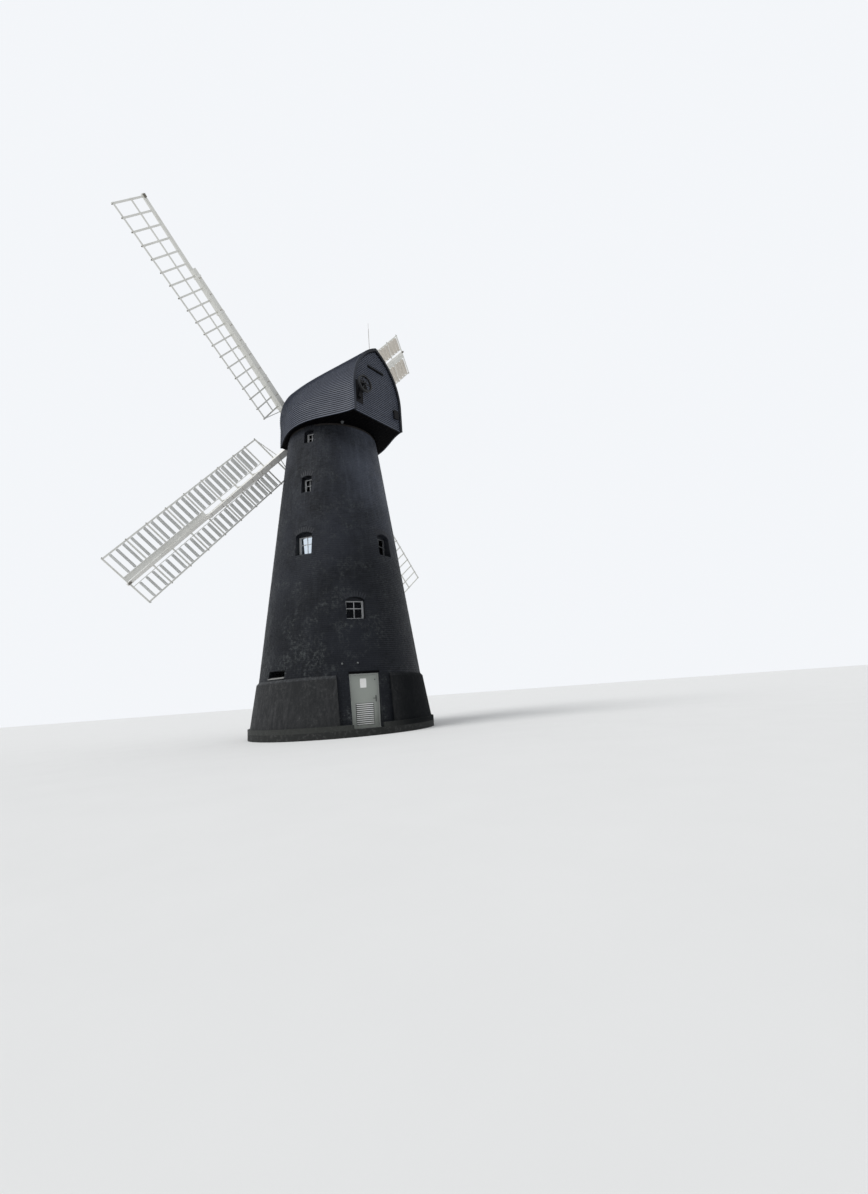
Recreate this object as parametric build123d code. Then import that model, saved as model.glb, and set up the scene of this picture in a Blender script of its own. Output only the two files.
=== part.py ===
from build123d import *
from math import atan2, cos, degrees, hypot, radians, sin
import os

# A tower windmill of tarred brick with a boat-shaped cap, in millimetres.
# +Z is up, the origin is the middle of the footing's underside, and the sails look towards -Y.

# Tower wall: one straight batter outside, and a set-off inside at every floor.
FOOTING_TOP = 400.0
TOWER_HEIGHT = 11900.0
BASE_RADIUS = 3397.0
TOP_RADIUS = 1879.0
FOOTING_RADIUS = 3600.0
GROUND_FLOOR = 235.0
STOREY_SHARES = [0.0, 0.2395, 0.4538, 0.6681, 0.8613]
STOREY_NAMES = ["ground", "first", "second", "third", "dust"]
GROUND_WALL = 620.0
SET_OFF = 70.0
CURB_HEIGHT = 100.0
CURB_SET_BACK = 20.0

# Battered plinth round the foot, left out beside the door.
PLINTH_HEIGHT = 1703.0
PLINTH_FOOT_RADIUS = 3519.0
PLINTH_TOP_RADIUS = 3270.0
PLINTH_CHAMFER = 100.0
PLINTH_GAP = 1960.0

# Floors: boards on joists, resting on the set-offs.
BOARD_THICKNESS = 40.0
JOIST_DEPTH = 150.0
JOIST_WIDTH = 75.0
JOIST_SPACING = 600.0
SEAT = 0.3

# Doorway and door, with the door set back in the wall and hung on its left side.
DOOR_AZIMUTH = 63.4
DOORWAY_WIDTH = 1090.0
DOORWAY_HEIGHT = 1870.0
DOOR_PLANE = 3060.0
DOOR_FRAME = 50.0
DOOR_FRAME_DEPTH = 90.0
DOOR_THICKNESS = 45.0
DOOR_GAP = 5.0
LEAF_LIFT = 15.0
THRESHOLD = (10.0, 60.0)
HINGES = 3
HINGE_INSET = 200.0
HINGE_RADIUS = 9.0
HINGE_PIN = 5.0
HINGE_CLEARANCE = 0.05
HINGE_KNUCKLE = 50.0
HINGE_PLATE = (40.0, 3.0)
KNUCKLE_GAP = 1.0
GRILLE = (650.0, 95.0, 740.0)
GRILLE_BLADES = 11
GRILLE_BLADE = (4.0, 60.0)
GRILLE_TURN = 55.0
HANDLE_PLATE = (30.0, 220.0, 12.0)
HANDLE_INSET = 75.0
HANDLE_HEIGHT = 970.0
LEVER = (18.0, 20.0, 15.0)
LEVER_STAND_OFF = 35.0
LEVER_LENGTH = 115.0

# Windows: storey, azimuth, sill above the storey's base, width, height, rise of the arch.
WINDOWS = [
    (1, 61.0, 810.0, 700.0, 850.0, 110.0),
    (2, 96.0, 890.0, 700.0, 900.0, 110.0),
    (2, 20.0, 890.0, 700.0, 900.0, 110.0),
    (3, 20.0, 920.0, 440.0, 720.0, 60.0),
    (4, 20.0, 830.0, 420.0, 600.0, 60.0),
]
VENT = (2.0, 1730.0, 910.0, 320.0)
VENT_BLADES = 3
VENT_TURN = 35.0
BLADE_THICKNESS = 8.0
WINDOW_SET_BACK = 200.0
WINDOW_FRAME = 50.0
WINDOW_DEPTH = 70.0
PANE = 6.0
PANE_REBATE = 10.0

# Cap: boat-shaped plan under a level ridge. Each section is upright to the eaves, then one arc
# leans in to the ridge. Stations run from the rear gable to the bow: distance in front of the
# tower's axis, half width, height of the eaves, bulge of the arc as a share of its chord.
CAP_DROP = 30.0
CAP_HEIGHT = 3255.0
CAP_SKIN = 40.0
RIDGE_SHARE = 1.25
CAP_STATIONS = [
    (-2900.0, 1340.0, 1015.0, 0.142),
    (-1450.0, 1860.0, 911.0, 0.127),
    (100.0, 2110.0, 840.0, 0.132),
    (1000.0, 1830.0, 806.0, 0.170),
    (1800.0, 1450.0, 792.0, 0.212),
]
CAP_FRONT = 1600.0
GABLE_INSET = 60.0
SOFFIT_THICKNESS = 25.0
SOFFIT_GAP = 25.0
CAP_RING_HEIGHT = 80.0
CAP_RING_WIDTH = 280.0
SHEER_WIDTH = 220.0
SHEER_DEPTH = 300.0
SHEER_OFFSET = 700.0
CROSS_BEAM_DEPTH = 140.0

# Windshaft, tilted up towards the sails, and its two bearings.
SHAFT_TILT = 9.5
SHAFT_RISE = 730.0
SHAFT_RADIUS = 180.0
SHAFT_TAIL = -1780.0
BEARING_LENGTH = 220.0
BEARING_CLEARANCE = 0.1
BEARING_WALL = 70.0
SHAFT_HOLE = 25.0
NECK = 1250.0
TAIL = -1550.0

# Sails: two stocks crossing in the poll end, each with a whip at either end.
SAIL_RADIUS = 10160.0
SAIL_ANGLE = 41.1
STOCK_PLANE = 2225.0
STOCK_STEP = 290.0
COMMON_STOCK_HALF = 7520.0
PATENT_STOCK_HALF = 6100.0
STOCK_SIZE = 280.0
STOCK_END = 150.0
STOCK_STRAIGHT = 450.0
WHIP_START = 600.0
WHIP_WIDTH = 190.0
WHIP_END_WIDTH = 110.0
WHIP_DEPTH = 150.0
WHIP_END_DEPTH = 80.0
POLL_WALL = 45.0
POLL_SLEEVE = 420.0
POLL_BOSS = 20.0

# Common sail: bars and laths on the trailing side only.
BAR_SPACING = 462.5
BAR_COUNT = 19
TIP_INSET = 80.0
COMMON_WIDTH = 1560.0
LATH_SHARE = 0.44
HEEL_WEATHER = 20.0
TIP_WEATHER = 9.5
BAR = (60.0, 35.0)
BAR_OVERHANG = 45.0
LATH = (60.0, 30.0)
LATH_LET_IN = 5.0

# Patent sail: bays of three shutters on both sides, a short bay of two and an empty heel bay.
PATENT_HEEL = 1640.0
SHORT_BAY_START = 2330.0
FIRST_BAY_START = 3080.0
PATENT_BAY = 985.0
BAYS = 7
SHUTTERS_A_BAY = 3
SHUTTER_PITCH = 305.0
TRAILING_WIDTH = 940.0
LEADING_WIDTH = 1190.0
LEADING_BOARD = (75.0, 275.0, 20.0)
RAIL = (25.0, 45.0)
SHUTTER_CHORD = 280.0
SHUTTER_THICKNESS = 20.0
SHUTTER_GAP = 12.0
PIN = 16.0
BRACE = 30.0
BRACE_RUN = 260.0

# Clamps: flat iron bands round whip and stock, just inside a sail bar.
CLAMP_WIDTH = 70.0
CLAMP_THICKNESS = 14.0
CLAMP_BESIDE_BAR = 75.0

# Chain wheel on the rear gable, and what else is fixed there.
WHEEL_RADIUS = 350.0
WHEEL_OFFSET = 870.0
WHEEL_RISE = 1190.0
WHEEL_STAND_OFF = 210.0
WHEEL_WIDTH = 70.0
WHEEL_RIM = 60.0
WHEEL_GROOVE = 30.0
WHEEL_SPOKES = 6
SPOKE = (32.0, 26.0)
HUB_RADIUS = 66.0
AXLE_RADIUS = 22.0
AXLE_CLEARANCE = 0.05
BRACKET_THICKNESS = 60.0
BRACKET_DROP = 420.0
STRUT = 140.0
STRUT_FOOT = (1100.0, 560.0)
RAIL_SPAN = (-360.0, 460.0)
RAIL_RISE = 2245.0
RAIL_RADIUS = 22.0
RAIL_STAND_OFF = 60.0
BOX_PLACE = (-1010.0, 650.0)
BOX_SIZE = (200.0, 90.0, 340.0)
ROD_PLACE = -2550.0
ROD_RADIUS = 11.0
ROD_HEIGHT = 1120.0
ROD_FOOT = 40.0

os.makedirs("parts", exist_ok=True)


def save(name, *solids):
    shape = solids[0] if len(solids) == 1 else Compound(children=list(solids))
    export_step(shape, f"parts/{name}.step")


def around(azimuth):
    """Plane through the tower's axis: X across, Y up, Z outwards at this azimuth."""
    a = radians(azimuth)
    return Plane(origin=(0, 0, 0), x_dir=(-sin(a), cos(a), 0), z_dir=(cos(a), sin(a), 0))


# Tower wall

BATTER = (BASE_RADIUS - TOP_RADIUS) / TOWER_HEIGHT
TOWER_TOP = FOOTING_TOP + TOWER_HEIGHT
BRICK_TOP = TOWER_TOP - CURB_HEIGHT
STOREY_ENDS = [FOOTING_TOP + share * TOWER_HEIGHT for share in STOREY_SHARES[1:]] + [BRICK_TOP]
STOREY_BASES = [GROUND_FLOOR] + STOREY_ENDS[:-1]
DOORWAY_TOP = GROUND_FLOOR + DOORWAY_HEIGHT
REACH = FOOTING_RADIUS + 200


def outer_radius(z):
    return BASE_RADIUS - BATTER * (z - FOOTING_TOP)


def wall_thickness(storey):
    return GROUND_WALL - SET_OFF * storey


def inner_radius(storey, z):
    return outer_radius(z) - wall_thickness(storey)


def ring_segment(points, start, end):
    """Part of a ring with this (radius, height) profile, between two azimuths."""
    face = make_face(Plane.XZ * Polyline(*points, close=True))
    return Rot(0, 0, start) * revolve(face, Axis.Z, end - start)


def wall_profile(storey):
    low, high = STOREY_BASES[storey], STOREY_ENDS[storey]
    inside = [(inner_radius(storey, high), high), (inner_radius(storey, low), low)]
    if storey:
        return [(outer_radius(low), low), (outer_radius(high), high)] + inside
    plinth_top = FOOTING_TOP + PLINTH_HEIGHT
    return [
        (FOOTING_RADIUS, low),
        (FOOTING_RADIUS, FOOTING_TOP),
        (PLINTH_FOOT_RADIUS, FOOTING_TOP),
        (PLINTH_TOP_RADIUS, plinth_top - PLINTH_CHAMFER),
        (outer_radius(plinth_top), plinth_top),
        (outer_radius(high), high),
    ] + inside


def arched_face(plane, width, height, sill, rise, grow=0.0):
    """Upright opening outline on a plane: straight sides, low segmental arch."""
    half = width / 2 + grow
    low, spring, top = sill - grow, sill + height - rise + grow * 0.5, sill + height + grow
    with BuildSketch(plane) as outline:
        with BuildLine():
            Line((-half, spring), (-half, low))
            Line((-half, low), (half, low))
            Line((half, low), (half, spring))
            ThreePointArc((half, spring), (0, top), (-half, spring))
        make_face()
    return outline.sketch


def window_places(storey):
    """Every window of a storey, and the same window on the far side, with its sill's height."""
    return [
        (azimuth + turn, STOREY_BASES[storey] + sill, width, height, rise)
        for at, azimuth, sill, width, height, rise in WINDOWS
        for turn in (0, 180)
        if at == storey
    ]


def window_hole(azimuth, sill, width, height, rise):
    return extrude(arched_face(around(azimuth), width, height, sill, rise), amount=REACH)


def vent_hole():
    azimuth, sill, width, height = VENT
    low = FOOTING_TOP + sill
    return around(azimuth) * Pos(0, low + height / 2, 0) * Box(
        width, height, REACH, align=(Align.CENTER, Align.CENTER, Align.MIN)
    )


def doorway_slot(low, high, width=DOORWAY_WIDTH):
    return around(DOOR_AZIMUTH) * Pos(0, (low + high) / 2, 0) * Box(
        width, high - low, REACH, align=(Align.CENTER, Align.CENTER, Align.MIN)
    )


def plinth_gap():
    """What the plinth leaves free beside the door, down to the footing."""
    low, high = FOOTING_TOP, FOOTING_TOP + PLINTH_HEIGHT
    gap = doorway_slot(low, high, PLINTH_GAP)
    tower = ring_segment(
        [(0, low - 1), (outer_radius(low - 1), low - 1), (outer_radius(high + 1), high + 1), (0, high + 1)],
        0,
        360,
    )
    return gap - tower


def storey_segments(storey):
    edges = [DOOR_AZIMUTH + 45 * k for k in range(9)] if storey == 0 else WALL_EDGES
    cuts = [window_hole(*w) for w in window_places(storey)]
    if storey == 0:
        cuts += [doorway_slot(GROUND_FLOOR, STOREY_ENDS[0]), vent_hole(), plinth_gap()]
    profile = wall_profile(storey)
    segments = []
    for start, end in zip(edges, edges[1:]):
        segment = ring_segment(profile, start, end)
        for cut in cuts:
            segment -= cut
        segments.append(segment.solid())
    return segments


WALL_EDGES = [-2.0, 41.0, 84.0, 131.0, 178.0, 221.0, 264.0, 311.0, 358.0]


def make_walls():
    for storey, name in enumerate(STOREY_NAMES):
        segments = storey_segments(storey)
        save(f"{name}_storey_wall_even", *segments[0::2])
        save(f"{name}_storey_wall_odd", *segments[1::2])
    over = ring_segment(wall_profile(0), DOOR_AZIMUTH - 30, DOOR_AZIMUTH + 30)
    over = over & doorway_slot(DOORWAY_TOP, STOREY_ENDS[0])
    save("wall_over_door", (over - plinth_gap()).solid())
    save("footing", extrude(Circle(FOOTING_RADIUS), GROUND_FLOOR))
    curb_outer = outer_radius(TOWER_TOP) - CURB_SET_BACK
    curb_inner = inner_radius(4, BRICK_TOP) + CURB_SET_BACK
    curb = Pos(0, 0, BRICK_TOP) * extrude(Circle(curb_outer) - Circle(curb_inner), CURB_HEIGHT)
    save("curb", curb)


def make_floors():
    for storey in range(1, 5):
        base = STOREY_BASES[storey]
        top = base + JOIST_DEPTH + BOARD_THICKNESS
        radius = inner_radius(storey, top) - SEAT
        boards = Pos(0, 0, base + JOIST_DEPTH) * extrude(Circle(radius), BOARD_THICKNESS)
        disc = Pos(0, 0, base) * extrude(Circle(radius), JOIST_DEPTH)
        half = int(radius // JOIST_SPACING)
        joists = [
            Pos(k * JOIST_SPACING, 0, base + JOIST_DEPTH / 2) * Box(JOIST_WIDTH, 2 * radius, JOIST_DEPTH)
            for k in range(-half, half + 1)
        ]
        save(f"{STOREY_NAMES[storey]}_floor", boards + [j & disc for j in joists])


# Windows and vent

def window_back(z, width, height):
    """Distance from the tower's axis to the inner side of a frame set back in the wall."""
    chord = cos(0.5 * width / outer_radius(z))
    return outer_radius(z + height) * chord - WINDOW_SET_BACK - WINDOW_DEPTH


def make_windows():
    frames, panes = [], []
    for storey in range(1, len(STOREY_NAMES)):
        for azimuth, z, width, height, rise in window_places(storey):
            plane = around(azimuth)
            back = window_back(z, width, height)
            outer = arched_face(plane.offset(back), width, height, z, rise, -SEAT)
            inner = arched_face(plane.offset(back), width, height, z, rise, -WINDOW_FRAME)
            middle = plane.offset(back + (WINDOW_DEPTH - PANE) / 2)
            pane = extrude(arched_face(middle, width, height, z, rise, PANE_REBATE - WINDOW_FRAME), PANE)
            frame = extrude(outer, WINDOW_DEPTH) - extrude(inner, WINDOW_DEPTH)
            frames.append((frame - pane).solid())
            panes.append(pane.solid())
    save("window_frames", *frames)
    save("window_glass", *panes)


def make_vent():
    azimuth, sill, width, height = VENT
    z = FOOTING_TOP + sill
    middle = around(azimuth) * Pos(0, z + height / 2, window_back(z, width, height) + WINDOW_DEPTH / 2)
    clear = width - 2 * WINDOW_FRAME
    frame = middle * Box(width - 2 * SEAT, height - 2 * SEAT, WINDOW_DEPTH)
    frame -= middle * Box(clear, height - 2 * WINDOW_FRAME, WINDOW_DEPTH)
    pitch = (height - 2 * WINDOW_FRAME) / VENT_BLADES
    blades = [
        middle * Pos(0, (k - (VENT_BLADES - 1) / 2) * pitch, 0) * Rot(VENT_TURN, 0, 0)
        * Box(clear, BLADE_THICKNESS, WINDOW_DEPTH)
        for k in range(VENT_BLADES)
    ]
    save("vent_louvre", frame + blades)


# Door

def door_box(x0, x1, z0, z1, d0, d1):
    """Box in the door's own terms: across, height, distance from the tower's axis."""
    return around(DOOR_AZIMUTH) * Pos((x0 + x1) / 2, (z0 + z1) / 2, (d0 + d1) / 2) * Box(
        x1 - x0, z1 - z0, d1 - d0
    )


def hinge_rod(radius, low, high):
    """Upright cylinder on the hinge line, in front of the gap on the door's left."""
    x = -(DOORWAY_WIDTH / 2 - DOOR_FRAME - DOOR_GAP / 2)
    line = around(DOOR_AZIMUTH) * Pos(x, 0, DOOR_PLANE + HINGE_RADIUS)
    return line * Pos(0, (low + high) / 2, 0) * Rot(90, 0, 0) * Cylinder(radius, high - low)


def make_door():
    half, front = DOORWAY_WIDTH / 2, DOOR_PLANE
    clear = half - DOOR_FRAME
    leaf_half = clear - DOOR_GAP
    low, high = GROUND_FLOOR + LEAF_LIFT, DOORWAY_TOP - DOOR_FRAME - DOOR_GAP
    back = front - DOOR_FRAME_DEPTH
    frame = door_box(-half, half, GROUND_FLOOR, DOORWAY_TOP, back, front)
    frame -= door_box(-clear, clear, GROUND_FLOOR, DOORWAY_TOP - DOOR_FRAME, back, front)
    frame += door_box(-half, half, GROUND_FLOOR, GROUND_FLOOR + THRESHOLD[0], back, front + THRESHOLD[1])
    leaf = door_leaf_panel(leaf_half, low, high)
    hang = -leaf_half - DOOR_GAP / 2
    spacing = (high - low - 2 * HINGE_INSET) / (HINGES - 1)
    plate_width, plate = HINGE_PLATE
    for k in range(HINGES):
        z = low + HINGE_INSET + k * spacing
        foot, top = z - HINGE_KNUCKLE, z + HINGE_KNUCKLE
        frame += hinge_rod(HINGE_RADIUS, foot, z)
        frame += hinge_rod(HINGE_PIN, z, top)
        frame += door_box(-half, hang, foot, z, front, front + plate)
        knuckle = hinge_rod(HINGE_RADIUS, z + KNUCKLE_GAP, top)
        knuckle += door_box(hang, plate_width - leaf_half, z + KNUCKLE_GAP, top, front, front + plate)
        leaf += knuckle - hinge_rod(HINGE_PIN + HINGE_CLEARANCE, z, top)
    save("door_frame", frame)
    save("door_leaf", leaf)
    save("door_handle", door_handle(leaf_half - HANDLE_INSET, low + HANDLE_HEIGHT))


def door_leaf_panel(half, low, high):
    """Flat leaf with a louvred grille in its lower half."""
    front = DOOR_PLANE
    width, rise, height = GRILLE
    leaf = door_box(-half, half, low, high, front - DOOR_THICKNESS, front)
    leaf -= door_box(-width / 2, width / 2, low + rise, low + rise + height, front - DOOR_THICKNESS, front)
    middle = around(DOOR_AZIMUTH) * Pos(0, low + rise, front - DOOR_THICKNESS / 2)
    blades = [
        middle * Pos(0, (k + 0.5) * height / GRILLE_BLADES, 0) * Rot(GRILLE_TURN, 0, 0)
        * Box(width, *GRILLE_BLADE)
        for k in range(GRILLE_BLADES)
    ]
    return leaf + blades


def door_handle(x, z):
    """Back plate with a lever that turns back towards the hinges."""
    width, height, thickness = HANDLE_PLATE
    wide, tall, deep = LEVER
    end = DOOR_PLANE + LEVER_STAND_OFF + deep
    plate = Pos(x, z, DOOR_PLANE + thickness / 2) * Box(width, height, thickness)
    handle = around(DOOR_AZIMUTH) * plate
    handle += door_box(x - wide / 2, x + wide / 2, z, z + tall, DOOR_PLANE, end)
    handle += door_box(x - LEVER_LENGTH, x + wide / 2, z, z + tall, end - deep, end)
    return handle


# Cap

CAP_BOTTOM = TOWER_TOP - CAP_DROP
RIDGE = CAP_BOTTOM + CAP_HEIGHT
SHAFT_HEIGHT = TOWER_TOP + SHAFT_RISE
FAR = 3 * CAP_HEIGHT
GABLE = CAP_STATIONS[0][0] + GABLE_INSET
FRAME_REAR = GABLE + CAP_SKIN + SEAT
FRONT_INSIDE = CAP_FRONT - GABLE_INSET - CAP_SKIN
SHEER_BOTTOM = TOWER_TOP + SEAT + CAP_RING_HEIGHT


def arch_face(s, half, height, eaves, bulge, low):
    """Pointed section across the cap: upright to the eaves, then a shallow arc to the ridge."""
    rise = height - eaves
    middle = (half / 2 + bulge * rise, eaves + rise / 2 + bulge * half)
    plane = Plane(origin=(0, -s, CAP_BOTTOM), x_dir=(1, 0, 0), z_dir=(0, -1, 0))
    with BuildSketch(plane) as section:
        with BuildLine():
            Line((-half, low), (half, low))
            Line((half, low), (half, eaves))
            ThreePointArc((half, eaves), middle, (0, height))
            ThreePointArc((0, height), (-middle[0], middle[1]), (-half, eaves))
            Line((-half, eaves), (-half, low))
        make_face()
    return section.sketch


def cap_hull(inset, low=0.0, extra=0.0):
    """Solid hull of the cap, set in by a thickness, reaching lower and further at both ends."""
    sections = []
    last = len(CAP_STATIONS) - 1
    for k, (s, half, eaves, bulge) in enumerate(CAP_STATIONS):
        s += {0: -extra, last: extra}.get(k, 0.0)
        sections.append(arch_face(s, half - inset, CAP_HEIGHT - inset * RIDGE_SHARE, eaves, bulge, low))
    return loft(sections)


def shaft_plane(distance):
    """Plane across the windshaft: X along the mill's X, Z forwards along the shaft."""
    tilt = radians(SHAFT_TILT)
    origin = (0, -distance * cos(tilt), SHAFT_HEIGHT + distance * sin(tilt))
    return Plane(origin=origin, x_dir=(1, 0, 0), z_dir=(0, -cos(tilt), sin(tilt)))


def shaft_rod(radius, start, end):
    return extrude(shaft_plane(start) * Circle(radius), end - start)


def half_space(side):
    return Pos(side * FAR / 2, 0, CAP_BOTTOM) * Box(FAR, 2 * FAR, 2 * FAR)


def slab(s0, s1):
    return Pos(0, -(s0 + s1) / 2, CAP_BOTTOM) * Box(FAR, s1 - s0, 2 * FAR)


def beyond(distance):
    """Everything in front of a distance along the windshaft."""
    return extrude(shaft_plane(distance) * Rectangle(FAR, FAR), FAR)


def tower_hole(high):
    """Room for the top of the tower inside the cap, up to a height."""
    radius = outer_radius(TOWER_TOP - SOFFIT_THICKNESS) + SOFFIT_GAP
    return Pos(0, 0, high - CAP_HEIGHT) * extrude(Circle(radius), CAP_HEIGHT)


def make_cap():
    inner_reach = CAP_SKIN / 4
    shell = cap_hull(0) - cap_hull(CAP_SKIN, -inner_reach, inner_reach) - beyond(CAP_FRONT)
    save("cap_left_side", (shell & half_space(1)).solid())
    save("cap_right_side", (shell & half_space(-1)).solid())
    core = cap_hull(CAP_SKIN + SEAT, -inner_reach, inner_reach)
    save("cap_rear_gable", (core & slab(GABLE, GABLE + CAP_SKIN)).solid())
    front = (core & beyond(FRONT_INSIDE)) - beyond(FRONT_INSIDE + CAP_SKIN)
    front -= shaft_rod(SHAFT_RADIUS + SHAFT_HOLE, 0, FAR)
    front -= tower_hole(SHEER_BOTTOM + SEAT)
    save("cap_front_wall", front.solid())
    # Boards under the overhang, cut round for the tower.
    soffit_low = TOWER_TOP - SOFFIT_THICKNESS
    soffit = core & (Pos(0, 0, soffit_low + SOFFIT_THICKNESS / 2) * Box(FAR, FAR, SOFFIT_THICKNESS))
    soffit = (soffit & slab(FRAME_REAR, FAR)) - beyond(FRONT_INSIDE - SEAT)
    save("cap_soffit", soffit - tower_hole(TOWER_TOP + SEAT))
    # Frame: a ring that turns on the curb, two sheers along the cap and beams across.
    ring_radius = outer_radius(TOWER_TOP) - CURB_SET_BACK
    ring = extrude(Circle(ring_radius) - Circle(ring_radius - CAP_RING_WIDTH), CAP_RING_HEIGHT)
    frame = [Pos(0, 0, TOWER_TOP + SEAT) * ring]
    length = FAR - FRAME_REAR
    for side in (-1, 1):
        sheer = Pos(side * SHEER_OFFSET, -(FRAME_REAR + length / 2), SHEER_BOTTOM + SHEER_DEPTH / 2) * Box(
            SHEER_WIDTH, length, SHEER_DEPTH
        )
        frame.append(sheer - beyond(FRONT_INSIDE - SEAT))
    for distance in (NECK, TAIL):
        at = shaft_plane(distance).origin.Y
        frame.append(
            Pos(0, at, SHEER_BOTTOM + CROSS_BEAM_DEPTH / 2)
            * Box(2 * SHEER_OFFSET - SHEER_WIDTH, SHEER_WIDTH, CROSS_BEAM_DEPTH)
        )
    save("cap_frame", Part() + frame)
    make_bearing("neck_bearing", NECK)
    make_bearing("tail_bearing", TAIL)


def make_bearing(name, distance):
    """Block on a cross beam, bored for the windshaft."""
    middle = shaft_plane(distance).origin
    low, high = SHEER_BOTTOM + CROSS_BEAM_DEPTH, middle.Z + SHAFT_RADIUS + BEARING_WALL
    block = Pos(0, middle.Y, (low + high) / 2) * Box(
        2 * (SHAFT_RADIUS + BEARING_WALL), BEARING_LENGTH, high - low
    )
    bore = shaft_rod(SHAFT_RADIUS + BEARING_CLEARANCE, distance - BEARING_LENGTH, distance + BEARING_LENGTH)
    save(name, (block - bore).solid())


# Sails

TIP_BAR = SAIL_RADIUS - TIP_INSET
COMMON_BARS = [TIP_BAR - k * BAR_SPACING for k in range(BAR_COUNT)]
HEEL_BAR = COMMON_BARS[-1]
PATENT_STARTS = [FIRST_BAY_START + k * PATENT_BAY for k in range(BAYS)]
PATENT_BARS = [PATENT_HEEL, SHORT_BAY_START] + PATENT_STARTS + [TIP_BAR]


def sail_place(quarter, plane_distance):
    """Sail axes: X outwards along the whip, Y to the trailing side, Z back to the tower."""
    tilt, turn = radians(SHAFT_TILT), radians(SAIL_ANGLE + 90 * quarter)
    across = Vector(1, 0, 0)
    up = Vector(0, sin(tilt), cos(tilt))
    along = across * cos(turn) + up * sin(turn)
    back = Vector(0, cos(tilt), -sin(tilt))
    return Plane(origin=shaft_plane(plane_distance).origin, x_dir=along, z_dir=back)


def tapered_timber(x0, x1, wide0, wide1, back0, back1, front0=0.0, front1=0.0):
    """Timber along X from x0 to x1, with its width across Y and faces at given Z."""
    side = extrude(
        Plane.XZ * make_face(Polyline((x0, front0), (x1, front1), (x1, back1), (x0, back0), close=True)),
        amount=wide0,
        both=True,
    )
    plan = Polyline((x0, -wide0 / 2), (x1, -wide1 / 2), (x1, wide1 / 2), (x0, wide0 / 2), close=True)
    deep = extrude(make_face(plan), amount=2 * (back0 - front0), both=True)
    return side & deep


def stock(half):
    middle = Pos(0, 0, STOCK_SIZE / 2) * Box(2 * STOCK_STRAIGHT, STOCK_SIZE, STOCK_SIZE)
    arm = tapered_timber(STOCK_STRAIGHT, half, STOCK_SIZE, STOCK_END, STOCK_SIZE, STOCK_END)
    return middle + [arm, Rot(0, 0, 180) * arm]


def whip():
    return tapered_timber(
        WHIP_START, SAIL_RADIUS, WHIP_WIDTH, WHIP_END_WIDTH, 0, 0, -WHIP_DEPTH, -WHIP_END_DEPTH
    )


def along_taper(x, x0, x1, start, end):
    return start + (end - start) * (x - x0) / (x1 - x0)


def weather(x):
    return along_taper(x, HEEL_BAR, TIP_BAR, HEEL_WEATHER, TIP_WEATHER)


def whip_depth(x):
    return along_taper(x, WHIP_START, SAIL_RADIUS, WHIP_DEPTH, WHIP_END_DEPTH)


def sail_point(x, reach, behind=0.0):
    """Point of the twisted sail at a reach from the whip's middle, set behind its middle plane."""
    a = radians(weather(x))
    y = reach * cos(a) - behind * sin(a)
    return Vector(x, y, behind * cos(a) + reach * sin(a) - whip_depth(x) / 2)


def bar_at(x, low, high, size=BAR):
    """Bar across the sail at x, from reach low to reach high, turned to the weather."""
    place = Pos(*sail_point(x, 0)) * Rot(weather(x), 0, 0)
    return place * Pos(0, (low + high) / 2, 0) * Box(size[0], high - low, size[1])


def strip(x0, reach0, x1, reach1, size, behind=0.0):
    """Straight strip between two points of the sail, its width across the sail's surface."""
    a, b = sail_point(x0, reach0, behind), sail_point(x1, reach1, behind)
    turn = radians(weather((x0 + x1) / 2))
    run = b - a
    normal = run.cross(Vector(0, cos(turn), sin(turn)))
    return Plane(origin=(a + b) * 0.5, x_dir=run, z_dir=normal) * Box(run.length, size[0], size[1])


def common_lattice():
    bars = [bar_at(x, 0, COMMON_WIDTH + BAR_OVERHANG) for x in COMMON_BARS]
    behind = (BAR[1] + LATH[1]) / 2 - LATH_LET_IN
    low, high = HEEL_BAR - BAR[0] / 2, TIP_BAR + BAR[0] / 2
    laths = [
        strip(low, reach, high, reach, LATH, behind) for reach in (COMMON_WIDTH, COMMON_WIDTH * LATH_SHARE)
    ]
    brace = strip(HEEL_BAR - BRACE_RUN, 0, HEEL_BAR, COMMON_WIDTH, (BRACE, BRACE))
    return (Part() + bars + laths + [brace]) - whip()


def shutter_places():
    """Three shutters in each bay, measured from its inner bar, and two in the short bay."""
    start = (PATENT_BAY - (SHUTTERS_A_BAY - 1) * SHUTTER_PITCH) / 2
    places = [FIRST_BAY_START - start - k * SHUTTER_PITCH for k in range(SHUTTERS_A_BAY - 1)]
    for bay in PATENT_STARTS:
        places += [bay + start + k * SHUTTER_PITCH for k in range(SHUTTERS_A_BAY)]
    return places


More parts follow.
